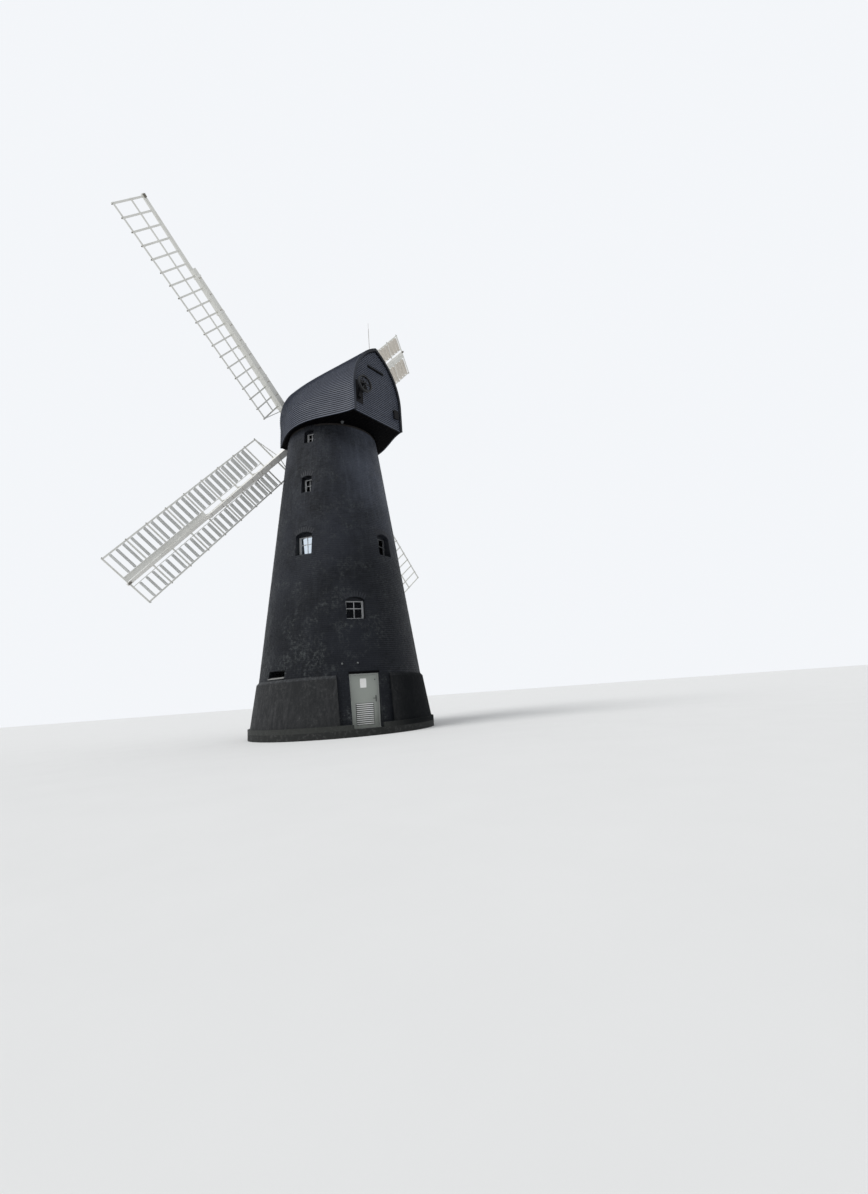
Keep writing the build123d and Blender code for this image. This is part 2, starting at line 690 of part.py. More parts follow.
def patent_side(side):
    """Frame and shutters on one side of a patent sail: +1 trailing, -1 leading."""
    if side > 0:
        turned = radians(HEEL_WEATHER)
        clear = STOCK_SIZE / 2 + SHUTTER_GAP + SHUTTER_CHORD / 2 * sin(turned)
        reach, inside = TRAILING_WIDTH, clear / cos(turned)
    else:
        reach, inside = LEADING_WIDTH, LEADING_BOARD[1] + LATH_LET_IN + SHUTTER_GAP
    rail_reach = inside - SHUTTER_GAP - RAIL[0] / 2
    low, high = PATENT_HEEL - BAR[0] / 2, TIP_BAR + BAR[0] / 2
    hem = strip(low, side * reach, high, side * reach, LATH)
    rail = strip(SHORT_BAY_START, side * rail_reach, high, side * rail_reach, RAIL)
    frame = [bar_at(x, *sorted((0, side * (reach + BAR_OVERHANG)))) for x in PATENT_BARS]
    frame += [hem, rail]
    frame.append(strip(PATENT_HEEL - BRACE_RUN, 0, PATENT_HEEL, side * reach, (BRACE, BRACE)))
    if side < 0:
        near, far, thickness = LEADING_BOARD
        for x0, x1 in zip(PATENT_BARS, PATENT_BARS[1:]):
            if x1 > PATENT_STOCK_HALF + BAR[0]:
                middle = -(near + far) / 2
                frame.append(strip(x0, middle, x1, middle, (far - near, thickness)))
    shutters = []
    outside = reach - LATH[0] / 2 - SHUTTER_GAP
    for x in shutter_places():
        place = Pos(*sail_point(x, 0)) * Rot(weather(x), 0, 0)
        board = place * Pos(0, side * (inside + outside) / 2, 0) * Box(
            SHUTTER_THICKNESS, outside - inside, SHUTTER_CHORD
        )
        pin = place * Pos(0, side * (rail_reach + reach) / 2, 0) * Box(PIN, reach - rail_reach, PIN)
        shutters.append((board + pin - rail - hem).solid())
    return (Part() + frame) - whip(), shutters


def clamp(x, half):
    """Band round stock and whip, just inside a bar."""
    near = x - CLAMP_BESIDE_BAR - CLAMP_WIDTH / 2
    size = along_taper(near, STOCK_STRAIGHT, half, STOCK_SIZE, STOCK_END)
    front = whip_depth(near) + SEAT
    back = size + SEAT
    middle = Pos(near + CLAMP_WIDTH / 2, 0, (back - front) / 2)
    inner = (size + 2 * SEAT, back + front)
    outer = [v + 2 * CLAMP_THICKNESS for v in inner]
    return middle * (Box(CLAMP_WIDTH, *outer) - Box(2 * CLAMP_WIDTH, *inner))


def make_sails():
    frames, shutters = {}, {}
    for side, name in ((1, "trailing"), (-1, "leading")):
        frames[name], shutters[name] = patent_side(side)
    lattice = common_lattice()
    clamps = []
    patent_plane = STOCK_PLANE + STOCK_STEP
    for label, quarters, ends, distance, half, bars in (
        ("common", (0, 2), ("upper", "lower"), STOCK_PLANE, COMMON_STOCK_HALF, COMMON_BARS[::3]),
        ("patent", (-1, 1), ("lower", "upper"), patent_plane, PATENT_STOCK_HALF, PATENT_BARS[2:]),
    ):
        save(f"{label}_stock", sail_place(quarters[0], distance) * stock(half))
        for quarter, end in zip(quarters, ends):
            place = sail_place(quarter, distance)
            save(f"{end}_{label}_whip", place * whip())
            clamps += [place * clamp(x, half) for x in bars if x < half]
            if label == "common":
                save(f"{end}_common_lattice", place * lattice)
            else:
                for name in frames:
                    save(f"{end}_patent_{name}_frame", place * frames[name])
                    save(f"{end}_patent_{name}_shutters", *[place * s for s in shutters[name]])
    save("stock_clamps", *clamps)


def make_windshaft():
    front = STOCK_PLANE + STOCK_STEP + POLL_WALL
    back = STOCK_PLANE - STOCK_SIZE - POLL_WALL
    save("windshaft", shaft_rod(SHAFT_RADIUS, SHAFT_TAIL, back))
    width = STOCK_SIZE + 2 * POLL_WALL
    crossings = (
        (sail_place(0, STOCK_PLANE), COMMON_STOCK_HALF),
        (sail_place(1, STOCK_PLANE + STOCK_STEP), PATENT_STOCK_HALF),
    )
    poll = shaft_rod(width / 2 + POLL_BOSS, back, front)
    for place, half in crossings:
        poll += place * Pos(0, 0, STOCK_SIZE / 2) * Box(2 * POLL_SLEEVE, width, width)
    for place, half in crossings:
        poll -= place * stock(half)
    save("poll_end", poll)


# Chain wheel, its bracket and the fittings of the rear gable

GABLE_FACE = -GABLE
WHEEL_HEIGHT = CAP_BOTTOM + WHEEL_RISE


def across_gable(offset, height, stand_off=0.0):
    """Plane parallel to the gable, Z pointing away from it."""
    return Plane(origin=(offset, GABLE_FACE + stand_off, height), x_dir=(1, 0, 0), z_dir=(0, 1, 0))


def chain_wheel():
    inner, half = WHEEL_RADIUS - WHEEL_RIM, WHEEL_WIDTH / 2
    groove = [
        (inner, -half),
        (WHEEL_RADIUS, -half),
        (WHEEL_RADIUS - WHEEL_GROOVE, 0),
        (WHEEL_RADIUS, half),
        (inner, half),
    ]
    rim = revolve(make_face(Plane.XZ * Polyline(*groove, close=True)), Axis.Z, 360)
    hub = extrude(Circle(HUB_RADIUS), half, both=True)
    spokes = [
        Rot(0, 0, k * 360 / WHEEL_SPOKES) * Pos((inner + HUB_RADIUS) / 2, 0, 0)
        * Box(inner - HUB_RADIUS + WHEEL_RIM / 2, *SPOKE)
        for k in range(WHEEL_SPOKES)
    ]
    return rim + hub + spokes - Cylinder(AXLE_RADIUS + AXLE_CLEARANCE, 2 * WHEEL_WIDTH)


def make_gable_fittings():
    save("chain_wheel", across_gable(WHEEL_OFFSET, WHEEL_HEIGHT, WHEEL_STAND_OFF) * chain_wheel())
    # Bracket: a gusset that carries the axle, and a strut from it down to the corner.
    arm = WHEEL_STAND_OFF - WHEEL_WIDTH / 2 - HUB_RADIUS / 4
    corner = (WHEEL_OFFSET - BRACKET_THICKNESS / 2, GABLE_FACE, WHEEL_HEIGHT)
    face = Plane(origin=corner, x_dir=(0, 1, 0), z_dir=(1, 0, 0))
    edge = 2 * AXLE_RADIUS
    outline = Polyline((0, edge), (arm, edge), (arm, -edge), (0, -BRACKET_DROP), close=True)
    gusset = extrude(face * make_face(outline), BRACKET_THICKNESS)
    axle_foot = across_gable(WHEEL_OFFSET, WHEEL_HEIGHT)
    axle = extrude(axle_foot * Circle(AXLE_RADIUS), WHEEL_STAND_OFF + WHEEL_WIDTH)
    run = STRUT_FOOT[0] - WHEEL_OFFSET
    drop = WHEEL_RISE - STRUT_FOOT[1]
    strut = (
        across_gable(WHEEL_OFFSET + run / 2, WHEEL_HEIGHT - drop / 2)
        * Pos(0, 0, STRUT / 2)
        * Rot(0, 0, degrees(atan2(drop, run)))
        * Box(hypot(run, drop), STRUT, STRUT)
    )
    save("wheel_bracket", gusset + [axle, strut])
    # Grab rail and a small boxed vent.
    start, end = RAIL_SPAN
    rail_height = CAP_BOTTOM + RAIL_RISE
    beam = Plane(origin=(start, GABLE_FACE + RAIL_STAND_OFF, rail_height), z_dir=(1, 0, 0))
    rail = extrude(beam * Circle(RAIL_RADIUS), end - start)
    for x in (start + RAIL_STAND_OFF, end - RAIL_STAND_OFF):
        rail += extrude(across_gable(x, rail_height) * Circle(RAIL_RADIUS), RAIL_STAND_OFF)
    box = Pos(BOX_PLACE[0], GABLE_FACE + BOX_SIZE[1] / 2, CAP_BOTTOM + BOX_PLACE[1]) * Box(*BOX_SIZE)
    save("gable_fittings", rail, box)
    # Lightning rod on a foot that sits over the ridge.
    foot = Pos(0, -ROD_PLACE, RIDGE) * Cylinder(ROD_FOOT, 2 * ROD_FOOT)
    rod = Pos(0, -ROD_PLACE, RIDGE + ROD_HEIGHT / 2) * Cylinder(ROD_RADIUS, ROD_HEIGHT)
    save("lightning_rod", (foot + rod) - cap_hull(0))


make_walls()
make_floors()
make_windows()
make_vent()
make_door()
make_cap()
make_sails()
make_windshaft()
make_gable_fittings()
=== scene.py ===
import math
import random

import bmesh
import bpy
from mathutils import Matrix, Vector
from mathutils.bvhtree import BVHTree


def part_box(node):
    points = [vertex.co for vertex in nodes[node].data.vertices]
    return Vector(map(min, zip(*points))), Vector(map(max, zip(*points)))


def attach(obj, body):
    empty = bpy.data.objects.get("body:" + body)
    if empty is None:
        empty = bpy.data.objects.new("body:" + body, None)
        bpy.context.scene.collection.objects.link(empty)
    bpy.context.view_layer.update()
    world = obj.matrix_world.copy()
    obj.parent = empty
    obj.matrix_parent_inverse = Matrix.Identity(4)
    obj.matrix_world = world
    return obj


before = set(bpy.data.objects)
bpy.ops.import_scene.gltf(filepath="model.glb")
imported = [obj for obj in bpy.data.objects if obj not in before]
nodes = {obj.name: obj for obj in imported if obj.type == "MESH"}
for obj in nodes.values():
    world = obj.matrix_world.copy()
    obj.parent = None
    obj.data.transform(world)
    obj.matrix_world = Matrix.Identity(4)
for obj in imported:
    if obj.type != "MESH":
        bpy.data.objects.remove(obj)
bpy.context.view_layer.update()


# Studio. A pale floor that runs out into a pale backdrop, one broad lamp high on the viewer's
# left and even light all round. The view is from eye height behind the mill.

class Number:
    """A socket of a material. Sums written with it add Math nodes."""

    def __init__(self, finish, socket):
        self.finish = finish
        self.socket = socket

    def sum(self, operation, *terms):
        return self.finish.node("ShaderNodeMath", dict(enumerate(terms)), operation=operation)

    def __add__(self, other):
        return self.sum("ADD", self, other)

    __radd__ = __add__

    def __sub__(self, other):
        return self.sum("SUBTRACT", self, other)

    def __rsub__(self, other):
        return self.sum("SUBTRACT", other, self)

    def __mul__(self, other):
        return self.sum("MULTIPLY", self, other)

    __rmul__ = __mul__

    def __truediv__(self, other):
        return self.sum("DIVIDE", self, other)

    def above(self, low, high):
        """0 under low, 1 over high, and a smooth step between them."""
        return self.finish.node(
            "ShaderNodeMapRange",
            {"Value": self, "From Min": low, "From Max": high},
            interpolation_type="SMOOTHSTEP",
        )


class Finish:
    """A material: its shader's constants are set once, and nodes are added one by one."""

    def __init__(self, name, **constants):
        self.material = bpy.data.materials.new(name)
        self.material.use_nodes = True
        self.tree = self.material.node_tree
        self.shader = self.tree.nodes["Principled BSDF"]
        for socket, value in constants.items():
            self.shader.inputs[socket.replace("_", " ")].default_value = value

    def node(self, kind, inputs=None, output=0, **settings):
        made = self.tree.nodes.new(kind)
        for setting, value in settings.items():
            setattr(made, setting, value)
        for socket, value in (inputs or {}).items():
            if isinstance(value, Number):
                self.tree.links.new(value.socket, made.inputs[socket])
            else:
                made.inputs[socket].default_value = value
        return Number(self, made.outputs[output])

    def place(self):
        """Where a point lies on the object, in metres."""
        return self.node("ShaderNodeTexCoord", output="Object")

    def parts(self, vector):
        return [self.node("ShaderNodeSeparateXYZ", {0: vector}, output=k) for k in range(3)]

    def together(self, x, y, z):
        return self.node("ShaderNodeCombineXYZ", {0: x, 1: y, 2: z})

    def cloud(self, vector, size, detail=4.0, rough=0.6):
        """Soft spots of about this size, from 0 to 1."""
        inputs = {"Vector": vector, "Scale": 1 / size, "Detail": detail, "Roughness": rough}
        return self.node("ShaderNodeTexNoise", inputs)

    def blend(self, share, first, second):
        """The first colour, and by a share of 0 to 1 the second."""
        inputs = {0: share}
        for socket, colour in ((6, first), (7, second)):
            inputs[socket] = colour if isinstance(colour, Number) else (*colour, 1)
        return self.node("ShaderNodeMix", inputs, output=2, data_type="RGBA")

    def layers(self, colour, *coats):
        """Colours laid over the first one, each by its share."""
        for share, coat in coats:
            colour = self.blend(share, colour, coat)
        return colour

    def stain(self, share, colour):
        """Lay one more colour over the finish as it is."""
        below = Number(self, self.shader.inputs["Base Color"].links[0].from_socket)
        self.give("Base Color", self.blend(share, below, colour))

    def relief(self, height, depth, strength=1.0):
        inputs = {"Height": height, "Distance": depth, "Strength": strength}
        self.give("Normal", self.node("ShaderNodeBump", inputs))

    def give(self, socket, number):
        self.tree.links.new(number.socket, self.shader.inputs[socket])


def mottled(name, size, first, second, detail=4.0, **constants):
    """A finish that runs between two colours in soft spots of about this size."""
    finish = Finish(name, **constants)
    spots = finish.cloud(finish.place(), size, detail)
    finish.give("Base Color", finish.blend(spots, first, second))
    return finish


def backdrop_light(world, near, far):
    """World light of strength near, shown to the camera and in reflections at strength far."""
    world.use_nodes = True
    tree = world.node_tree
    path = tree.nodes.new("ShaderNodeLightPath")
    shown = path.outputs["Is Camera Ray"]
    for ray in ("Is Glossy Ray", "Is Transmission Ray"):
        most = tree.nodes.new("ShaderNodeMath")
        most.operation = "MAXIMUM"
        tree.links.new(shown, most.inputs[0])
        tree.links.new(path.outputs[ray], most.inputs[1])
        shown = most.outputs[0]
    strength = tree.nodes.new("ShaderNodeMapRange")
    strength.inputs["To Min"].default_value = near
    strength.inputs["To Max"].default_value = far
    tree.links.new(shown, strength.inputs["Value"])
    background = tree.nodes["Background"]
    background.inputs["Color"].default_value = (0.93, 0.95, 0.98, 1)
    tree.links.new(strength.outputs[0], background.inputs["Strength"])


scene = bpy.context.scene
scene.view_settings.view_transform = "Standard"
scene.world = bpy.data.worlds.new("studio")
backdrop_light(scene.world, 0.60, 0.97)

floor_radius, floor_sides = 220, 96
floor_mesh = bpy.data.meshes.new("floor")
turns = [k * math.tau / floor_sides for k in range(floor_sides)]
rim = [(floor_radius * math.cos(turn), floor_radius * math.sin(turn), 0) for turn in turns]
floor_mesh.from_pydata(rim, [], [list(range(floor_sides))])
floor = bpy.data.objects.new("floor", floor_mesh)
scene.collection.objects.link(floor)
pale_floor = mottled(
    "pale floor", 1.5, (0.80, 0.80, 0.79), (0.84, 0.84, 0.83),
    Roughness=0.9, Specular_IOR_Level=0.1,
)
floor_mesh.materials.append(pale_floor.material)

lamp = bpy.data.objects.new("broad lamp", bpy.data.lights.new("broad lamp", "SUN"))
lamp.data.energy = 1.7
lamp.data.angle = 0.6
towards_lamp = Vector((0.66, -0.22, 0.72))
lamp.rotation_euler = towards_lamp.to_track_quat("Z", "Y").to_euler()
scene.collection.objects.link(lamp)

eye = (14.04, 16.19, 1.271)
heading, pitch, roll = math.radians(218.41), math.radians(10.48), math.radians(-4.16)
reach = math.cos(pitch)
ahead = Vector((reach * math.cos(heading), reach * math.sin(heading), math.sin(pitch)))
level = Vector((math.sin(heading), -math.cos(heading), 0))
upright = level.cross(ahead)
across = level * math.cos(roll) + upright * math.sin(roll)
upright = upright * math.cos(roll) - level * math.sin(roll)
camera = bpy.data.objects.new("camera", bpy.data.cameras.new("camera"))
camera.data.sensor_width = 36
camera.data.lens = 15.53
camera.data.clip_end = 1000
view = Matrix((across, upright, -ahead)).transposed().to_4x4()
view.translation = eye
camera.matrix_world = view
scene.collection.objects.link(camera)
scene.camera = camera


# Tower wall. Brickwork laid in lime mortar and tarred many times over, so that the joints are
# nearly filled. Its base is rendered and painted: old paint has run and weathered in streaks.
# One side has a painted bluish sky reflection near the cap and painted shade low down.

footing_top, tower_height, base_radius, top_radius = 0.4, 11.9, 3.397, 1.879
batter = (base_radius - top_radius) / tower_height
shares = [0.0, 0.2395, 0.4538, 0.6681, 0.8613, 1.0]
storeys = ["ground", "first", "second", "third", "dust"]
plinth_top = footing_top + 1.703
course = 0.0765
first_course = plinth_top + 0.004


def wall_radius(z):
    return base_radius - batter * (z - footing_top)


def paint(node, finish):
    """Give a CAD node its finish."""
    node = nodes[node]
    node.data.materials.clear()
    node.data.materials.append(finish.material)


def brick_bond(finish, spot, turn, z, radius):
    """Joints of the bricks in a wall of this radius, and a tint for each brick."""
    girth = math.tau * radius
    wobble = (finish.cloud(spot, 0.5) - 0.5) * 0.012
    bond = {
        "Vector": finish.together(turn * radius, z + wobble, 0.0),
        "Scale": 1.0, "Brick Width": girth / round(girth / 0.228), "Row Height": 0.076,
        "Mortar Size": 0.006, "Mortar Smooth": 0.6, "Bias": 0.0,
        "Color1": (0, 0, 0, 1), "Color2": (1, 1, 1, 1),
    }
    joint = finish.node("ShaderNodeTexBrick", bond, output="Fac")
    return joint, finish.parts(finish.node("ShaderNodeTexBrick", bond))[0]


def tarred_wall(name, radius=None):
    """Tar over brickwork of a radius, or with none over bricks that are laid one by one."""
    finish = Finish(name, Specular_IOR_Level=0.12)
    spot = finish.place()
    x, y, z = finish.parts(spot)
    turn = finish.node("ShaderNodeMath", {0: y, 1: x}, operation="ARCTAN2")
    laid = radius is None
    if laid:
        joint, each = 0.0, finish.parts(finish.node("ShaderNodeTexCoord", output="UV"))[0]
    else:
        joint, each = brick_bond(finish, spot, turn, z, radius)
    low_down = 1 - z.above(2.0, 10.5)
    # The side right of the door is painted darker as painted shade: the tar low down, the render
    # and the course marks.
    shaded_side = turn.above(1.12, 1.65) * (1 - turn.above(2.2, 3.1))
    broad = finish.cloud(spot, 2.2, 4).above(0.35, 0.68)
    patch = finish.cloud(spot, 0.8, 6, 0.68).above(0.45, 0.62)
    worn = finish.cloud(spot, 0.11, 6, 0.75).above(0.45, 0.66)
    fleck = finish.cloud(spot, 0.06, 6, 0.78).above(0.60, 0.69) * patch * broad
    run = finish.cloud(finish.together(x * 6, y * 6, z * 0.7), 1.0, 5, 0.65).above(0.46, 0.70)
    # Painted sky reflection: a pale bluish sheen high on one side of the tower, below the cap.
    sky_sheen = turn.above(0.80, 1.75) * (1 - turn.above(2.5, 3.1)) * z.above(6.8, 10.6)
    sky_sheen = sky_sheen * (0.3 + broad * 0.4 + run * 0.3)
    tar = finish.layers(
        finish.blend(broad, (0.006, 0.007, 0.009), (0.026, 0.029, 0.038)),
        (each * 0.4, (0.032, 0.035, 0.044)),
        (run * 0.5, (0.036, 0.040, 0.048)),
        (low_down * 0.6, (0.003, 0.004, 0.006)),
        (patch * worn * (0.45 + low_down * 0.4), (0.070, 0.077, 0.078)),
        (fleck * (0.1 + low_down * 0.8), (0.26, 0.265, 0.26)),
        (joint * 0.75, (0.005, 0.006, 0.007)),
        (shaded_side * low_down * 0.65, (0.004, 0.005, 0.007)),
        (sky_sheen * 0.9, (0.118, 0.132, 0.170)),
    )
    if laid:
        # Each course gets a dark band along its foot, painted shade, and a pale bluish band along
        # its top, a painted highlight, most on the shaded side.
        courses = (z - first_course) / course
        rise = finish.node("ShaderNodeMath", {0: courses}, operation="FRACT")
        side = 0.25 + shaded_side * 0.75
        tar = finish.layers(
            tar,
            ((1 - rise.above(0.05, 0.35)) * side * 0.7, (0.003, 0.004, 0.005)),
            (rise.above(0.50, 0.78) * side * 0.4, (0.075, 0.084, 0.105)),
        )
    # The rendered base: streaks that run down it, and a paler chamfer.
    out = finish.node(
        "ShaderNodeVectorMath", {0: finish.together(x, y, 0.0)}, output="Value", operation="LENGTH",
    )
    proud = out - (base_radius + batter * footing_top) + z * batter
    render = proud.above(0.008, 0.014) * (1 - z.above(plinth_top - 0.004, plinth_top + 0.001))
    streak = finish.cloud(finish.together(x * 8, y * 8, z * 1.5), 1.0, 6, 0.68).above(0.40, 0.68)
    chip = finish.cloud(spot, 0.05, 5, 0.7).above(0.60, 0.68)
    chamfer = z.above(plinth_top - 0.135, plinth_top - 0.10)
    foot = 1 - z.above(footing_top, footing_top + 0.02)
    # On the shaded side the render is painted near black, as painted shade.
    coat = finish.layers(
        (0.020, 0.021, 0.022),
        (streak * (0.25 + broad * 0.5), (0.052, 0.052, 0.054)),
        (patch * worn * 0.6, (0.072, 0.073, 0.073)),
        (chamfer * (0.15 + worn * 0.4), (0.085, 0.090, 0.098)),
        (foot * 0.5, (0.055, 0.058, 0.052)),
        (chip * 0.35, (0.11, 0.11, 0.105)),
        (shaded_side * 0.9, (0.003, 0.004, 0.005)),
    )
    finish.give("Base Color", finish.blend(render, tar, coat))
    rough = finish.cloud(spot, 0.3, 5)
    finish.give("Roughness", 0.42 + rough * 0.30 + render * (0.12 + shaded_side * 0.3))
    grain = finish.cloud(spot, 0.018, 6, 0.65)
    lump = finish.cloud(spot, 0.22, 3)
    height = (1 - render) * (1 - joint) * 0.8 + grain * 0.45 + lump * 0.9 + worn * 0.4
    finish.relief(height, 0.016, 0.9)
    return finish


levels = [footing_top + share * tower_height for share in shares]
for storey, low, high in zip(storeys, levels, levels[1:]):
    tarred = tarred_wall(f"tarred brick {storey}", wall_radius((low + high) / 2))
    for half in ("even", "odd"):
        paint(f"{storey}_storey_wall_{half}", tarred)
    if storey == "ground":
        paint("wall_over_door", tarred)


# Footing. A ring of concrete cast under the wall and painted with the same black. Feet and rain
# have worn its top edge to grey, and it is damp in places.

concrete = Finish("painted concrete", Specular_IOR_Level=0.15)
spot = concrete.place()
worn = concrete.cloud(spot, 0.12, 6, 0.7)
damp = concrete.cloud(spot, 1.1, 3)
edge = concrete.parts(spot)[2].above(footing_top - 0.035, footing_top - 0.012)
concrete.give("Base Color", concrete.layers(
    (0.024, 0.025, 0.025),
    (worn.above(0.48, 0.66), (0.062, 0.062, 0.062)),
    (edge * 0.6, (0.13, 0.13, 0.125)),
    (damp * 0.4, (0.024, 0.026, 0.022)),
))
concrete.give("Roughness", 0.72 + worn * 0.2)
concrete.relief(worn + concrete.cloud(spot, 0.012, 4) * 0.3, 0.006)
paint("footing", concrete)


# Window arches. Rings of bricks on edge over the windows, cut to the opening's low arch and
# tarred with the wall. Each stands a few millimetres proud of the courses.

windows = [
    (1, 61.0, 0.810, 0.700, 0.850, 0.110), (2, 96.0, 0.890, 0.700, 0.900, 0.110),
    (2, 20.0, 0.890, 0.700, 0.900, 0.110), (3, 20.0, 0.920, 0.440, 0.720, 0.060),
    (4, 20.0, 0.830, 0.420, 0.600, 0.060),
]
openings = [
    (math.radians(azimuth + turn), levels[storey] + sill, width, height, rise)
    for storey, azimuth, sill, width, height, rise in windows
    for turn in (0, 180)
]


def arch_radius(width, rise):
    """Radius of the low arch over an opening, from its width and rise."""
    return (width * width / 4 + rise * rise) / (2 * rise)


def at(place, *spot):
    """A placed frame, moved by x, y and z along its own axes."""
    return place @ Matrix.Translation(spot)


def block(mesh, place, size):
    """Add a box of this size, centred on a placed frame, to a mesh in the making."""
    bmesh.ops.create_cube(mesh, size=1, matrix=place @ Matrix.Diagonal((*size, 1)))


def piece(name, mesh, finish, body, bevel=0.0, segments=1):
    """Turn a mesh into a piece of the mill that moves with a body."""
    data = bpy.data.meshes.new(name)
    mesh.to_mesh(data)
    mesh.free()
    made = bpy.data.objects.new(name, data)
    scene.collection.objects.link(made)
    data.materials.append(finish.material)
    if bevel:
        edge = made.modifiers.new("edge", "BEVEL")
        edge.width = bevel
        edge.segments = segments
        edge.limit_method = "ANGLE"
    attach(made, body)


tar_brick = mottled(
    "tarred arch brick", 0.1, (0.010, 0.011, 0.014), (0.032, 0.035, 0.042), 5,
    Roughness=0.5, Specular_IOR_Level=0.18,
)
tar_brick.relief(tar_brick.cloud(tar_brick.place(), 0.02, 5), 0.004)

arch_brick, brick_spacing, ring_middle = (0.03, 0.064, 0.214), 0.075, 0.112
arches = bmesh.new()
chance = random.Random(4)
for azimuth, sill, width, height, rise in openings:
    radius = arch_radius(width, rise)
    middle = sill + height - radius
    spread = math.asin(width / 2 / radius)
    count = round(width / brick_spacing)
    for k in range(count):
        lean = spread * ((2 * k + 1) / count - 1)
        reach = radius + ring_middle
        side, z = reach * math.sin(lean), middle + reach * math.cos(lean)
        place = (
            Matrix.Rotation(azimuth + side / wall_radius(z), 4, "Z")
            @ Matrix.Translation((wall_radius(z) - 0.010 + chance.uniform(0, 0.003), 0, z))
            @ Matrix.Rotation(-math.atan(batter), 4, "Y")
            @ Matrix.Rotation(-lean, 4, "X")
        )
        block(arches, place, arch_brick)
piece("window_arches", arches, tar_brick, "tower", 0.006, 2)


# Bricks. The wall's face above the rendered base, course by course, each brick set a few
# millimetres in or out and cut where it meets a window, an arch, the vent or the doorway.

brick_length, joint_width, shortest_brick = 0.236, 0.009, 0.03
arch_ring = 0.220
vent_azimuth, vent_sill, vent_width = math.radians(2.0), footing_top + 1.730, 0.910
door_azimuth = math.radians(63.4)
straight_gaps = [(vent_azimuth, vent_sill, vent_width, 0.300), (door_azimuth, 2.0, 1.10, 0.19)]


def closed_spans(z, radius):
    """Angles round the tower that openings and their arches take up at a height."""
    spans = []
    for azimuth, sill, width, height, rise in openings:
        past_top = z - sill - height
        if sill < z < sill + height - rise:
            spans.append((azimuth, (width / 2 + 0.002) / radius))
        elif sill < z < sill + height + arch_ring:
            inner = arch_radius(width, rise)
            outer = inner + arch_ring
            reach = math.sqrt(max(0, outer * outer - (past_top + inner) ** 2))
            splay = width / 2 + 0.10 * (past_top + rise) / arch_ring
            spans.append((azimuth, min(reach, splay) / radius))
    for azimuth, sill, width, height in straight_gaps:
        if sill < z < sill + height:
            spans.append((azimuth, width / 2 / radius))
    return [
        (middle + turn - half, middle + turn + half)
        for middle, half in spans
        for turn in (-math.tau, 0, math.tau)
    ]


def left_over(start, end, closed, shortest):
    """What closed spans leave of one span, without the pieces that are too short."""
    parts = [(start, end)]
    for near, far in closed:
        if any(a < far and near < b for a, b in parts):
            cut = [part for a, b in parts for part in ((a, min(b, near)), (max(a, far), b))]
            parts = [(a, b) for a, b in cut if b - a > shortest]
    return parts


def lay_brick(mesh, marks, start, end, low, high, proud, tint):
    """One brick's face between two angles, with sloped edges that run back into the wall."""
    slope, depth = 0.005, 0.012
    rim, front = [], []
    for angle, z in ((start, low), (end, low), (end, high), (start, high)):
        inner_angle = angle + slope / wall_radius(z) * (1 if angle == start else -1)
        inner_z = z + (slope if z == low else -slope)
        corners = ((rim, angle, z, -depth), (front, inner_angle, inner_z, proud))
        for ring, turn, height, out in corners:
            radius = wall_radius(height) + out
            ring.append(mesh.verts.new((radius * math.cos(turn), radius * math.sin(turn), height)))
    sides = [(rim[k], rim[(k + 1) % 4], front[(k + 1) % 4], front[k]) for k in range(4)]
    for corners in [front] + sides:
        for loop in mesh.faces.new(corners).loops:
            loop[marks].uv = (tint, 0)


laid_tar = tarred_wall("tarred brick faces")
chance = random.Random(9)
top_course = footing_top + tower_height - 0.105
for storey, low, high in zip(storeys, levels, levels[1:]):
    mesh = bmesh.new()
    marks = mesh.loops.layers.uv.new("brick")
    for number in range(int((top_course - first_course) / course)):
        foot = first_course + number * course
        if not low <= foot < high:
            continue
        middle = foot + course / 2
        radius = wall_radius(middle)
        count = round(math.tau * radius / brick_length)
        closed = closed_spans(middle, radius)
        for k in range(count):
            start = (k + (number % 2) / 2) * math.tau / count
            end = start + (brick_length - joint_width) / brick_length * math.tau / count
            proud, tint = chance.uniform(0.001, 0.005), chance.random()
            for a, b in left_over(start, end, closed, shortest_brick / radius):
                lay_brick(mesh, marks, a, b, foot, foot + course - joint_width, proud, tint)
    piece(f"{storey}_storey_bricks", mesh, laid_tar, "tower")


# Windows. Softwood frames under worn grey paint, set back in the wall, each glazed in four panes
# between narrow bars, closed at the foot by a deeper rail and at the head by a black board. One
# frame on the second floor is painted near black as painted shade, and the panes of the window
# beside it are pale and mirror-like, a painted sky reflection.

def weathered_paint(name, pale, dirty, rough, scale=1.0):
    """Weathered paint on sawn timber, with grain that runs up the object."""
    finish = Finish(name, Specular_IOR_Level=0.4)
    spot = finish.place()
    x, y, z = finish.parts(spot)
    grain = finish.cloud(finish.together(x * 45, y * 45, z * 2), 1.0, 5, 0.6)
    dirt = finish.cloud(spot, 0.55 * scale, 6, 0.7).above(0.48, 0.78)
    speck = finish.cloud(spot, 0.05 * scale, 4, 0.7).above(0.62, 0.74)
    finish.give("Base Color", finish.layers(
        pale,
        (dirt * 0.4, dirty),
        (speck * 0.15, tuple(c * 0.5 for c in dirty)),
        (grain * 0.12, dirty),
    ))
    finish.give("Roughness", rough + dirt * 0.2)
    finish.relief(grain + speck * 0.5, 0.002, 0.6)
    return finish


frame_paint = weathered_paint(
    "grey window paint", (0.50, 0.51, 0.52), (0.24, 0.24, 0.23), 0.45, 0.4,
)
_, y, z = frame_paint.parts(frame_paint.place())
# The frame on the second floor by the gable is painted near black, as painted shade.
shaded_frame = y.above(1.7, 1.8) * z.above(6.4, 6.5) * (1 - z.above(7.7, 7.8))
frame_paint.stain(shaded_frame * 0.85, (0.030, 0.033, 0.040))
paint("window_frames", frame_paint)

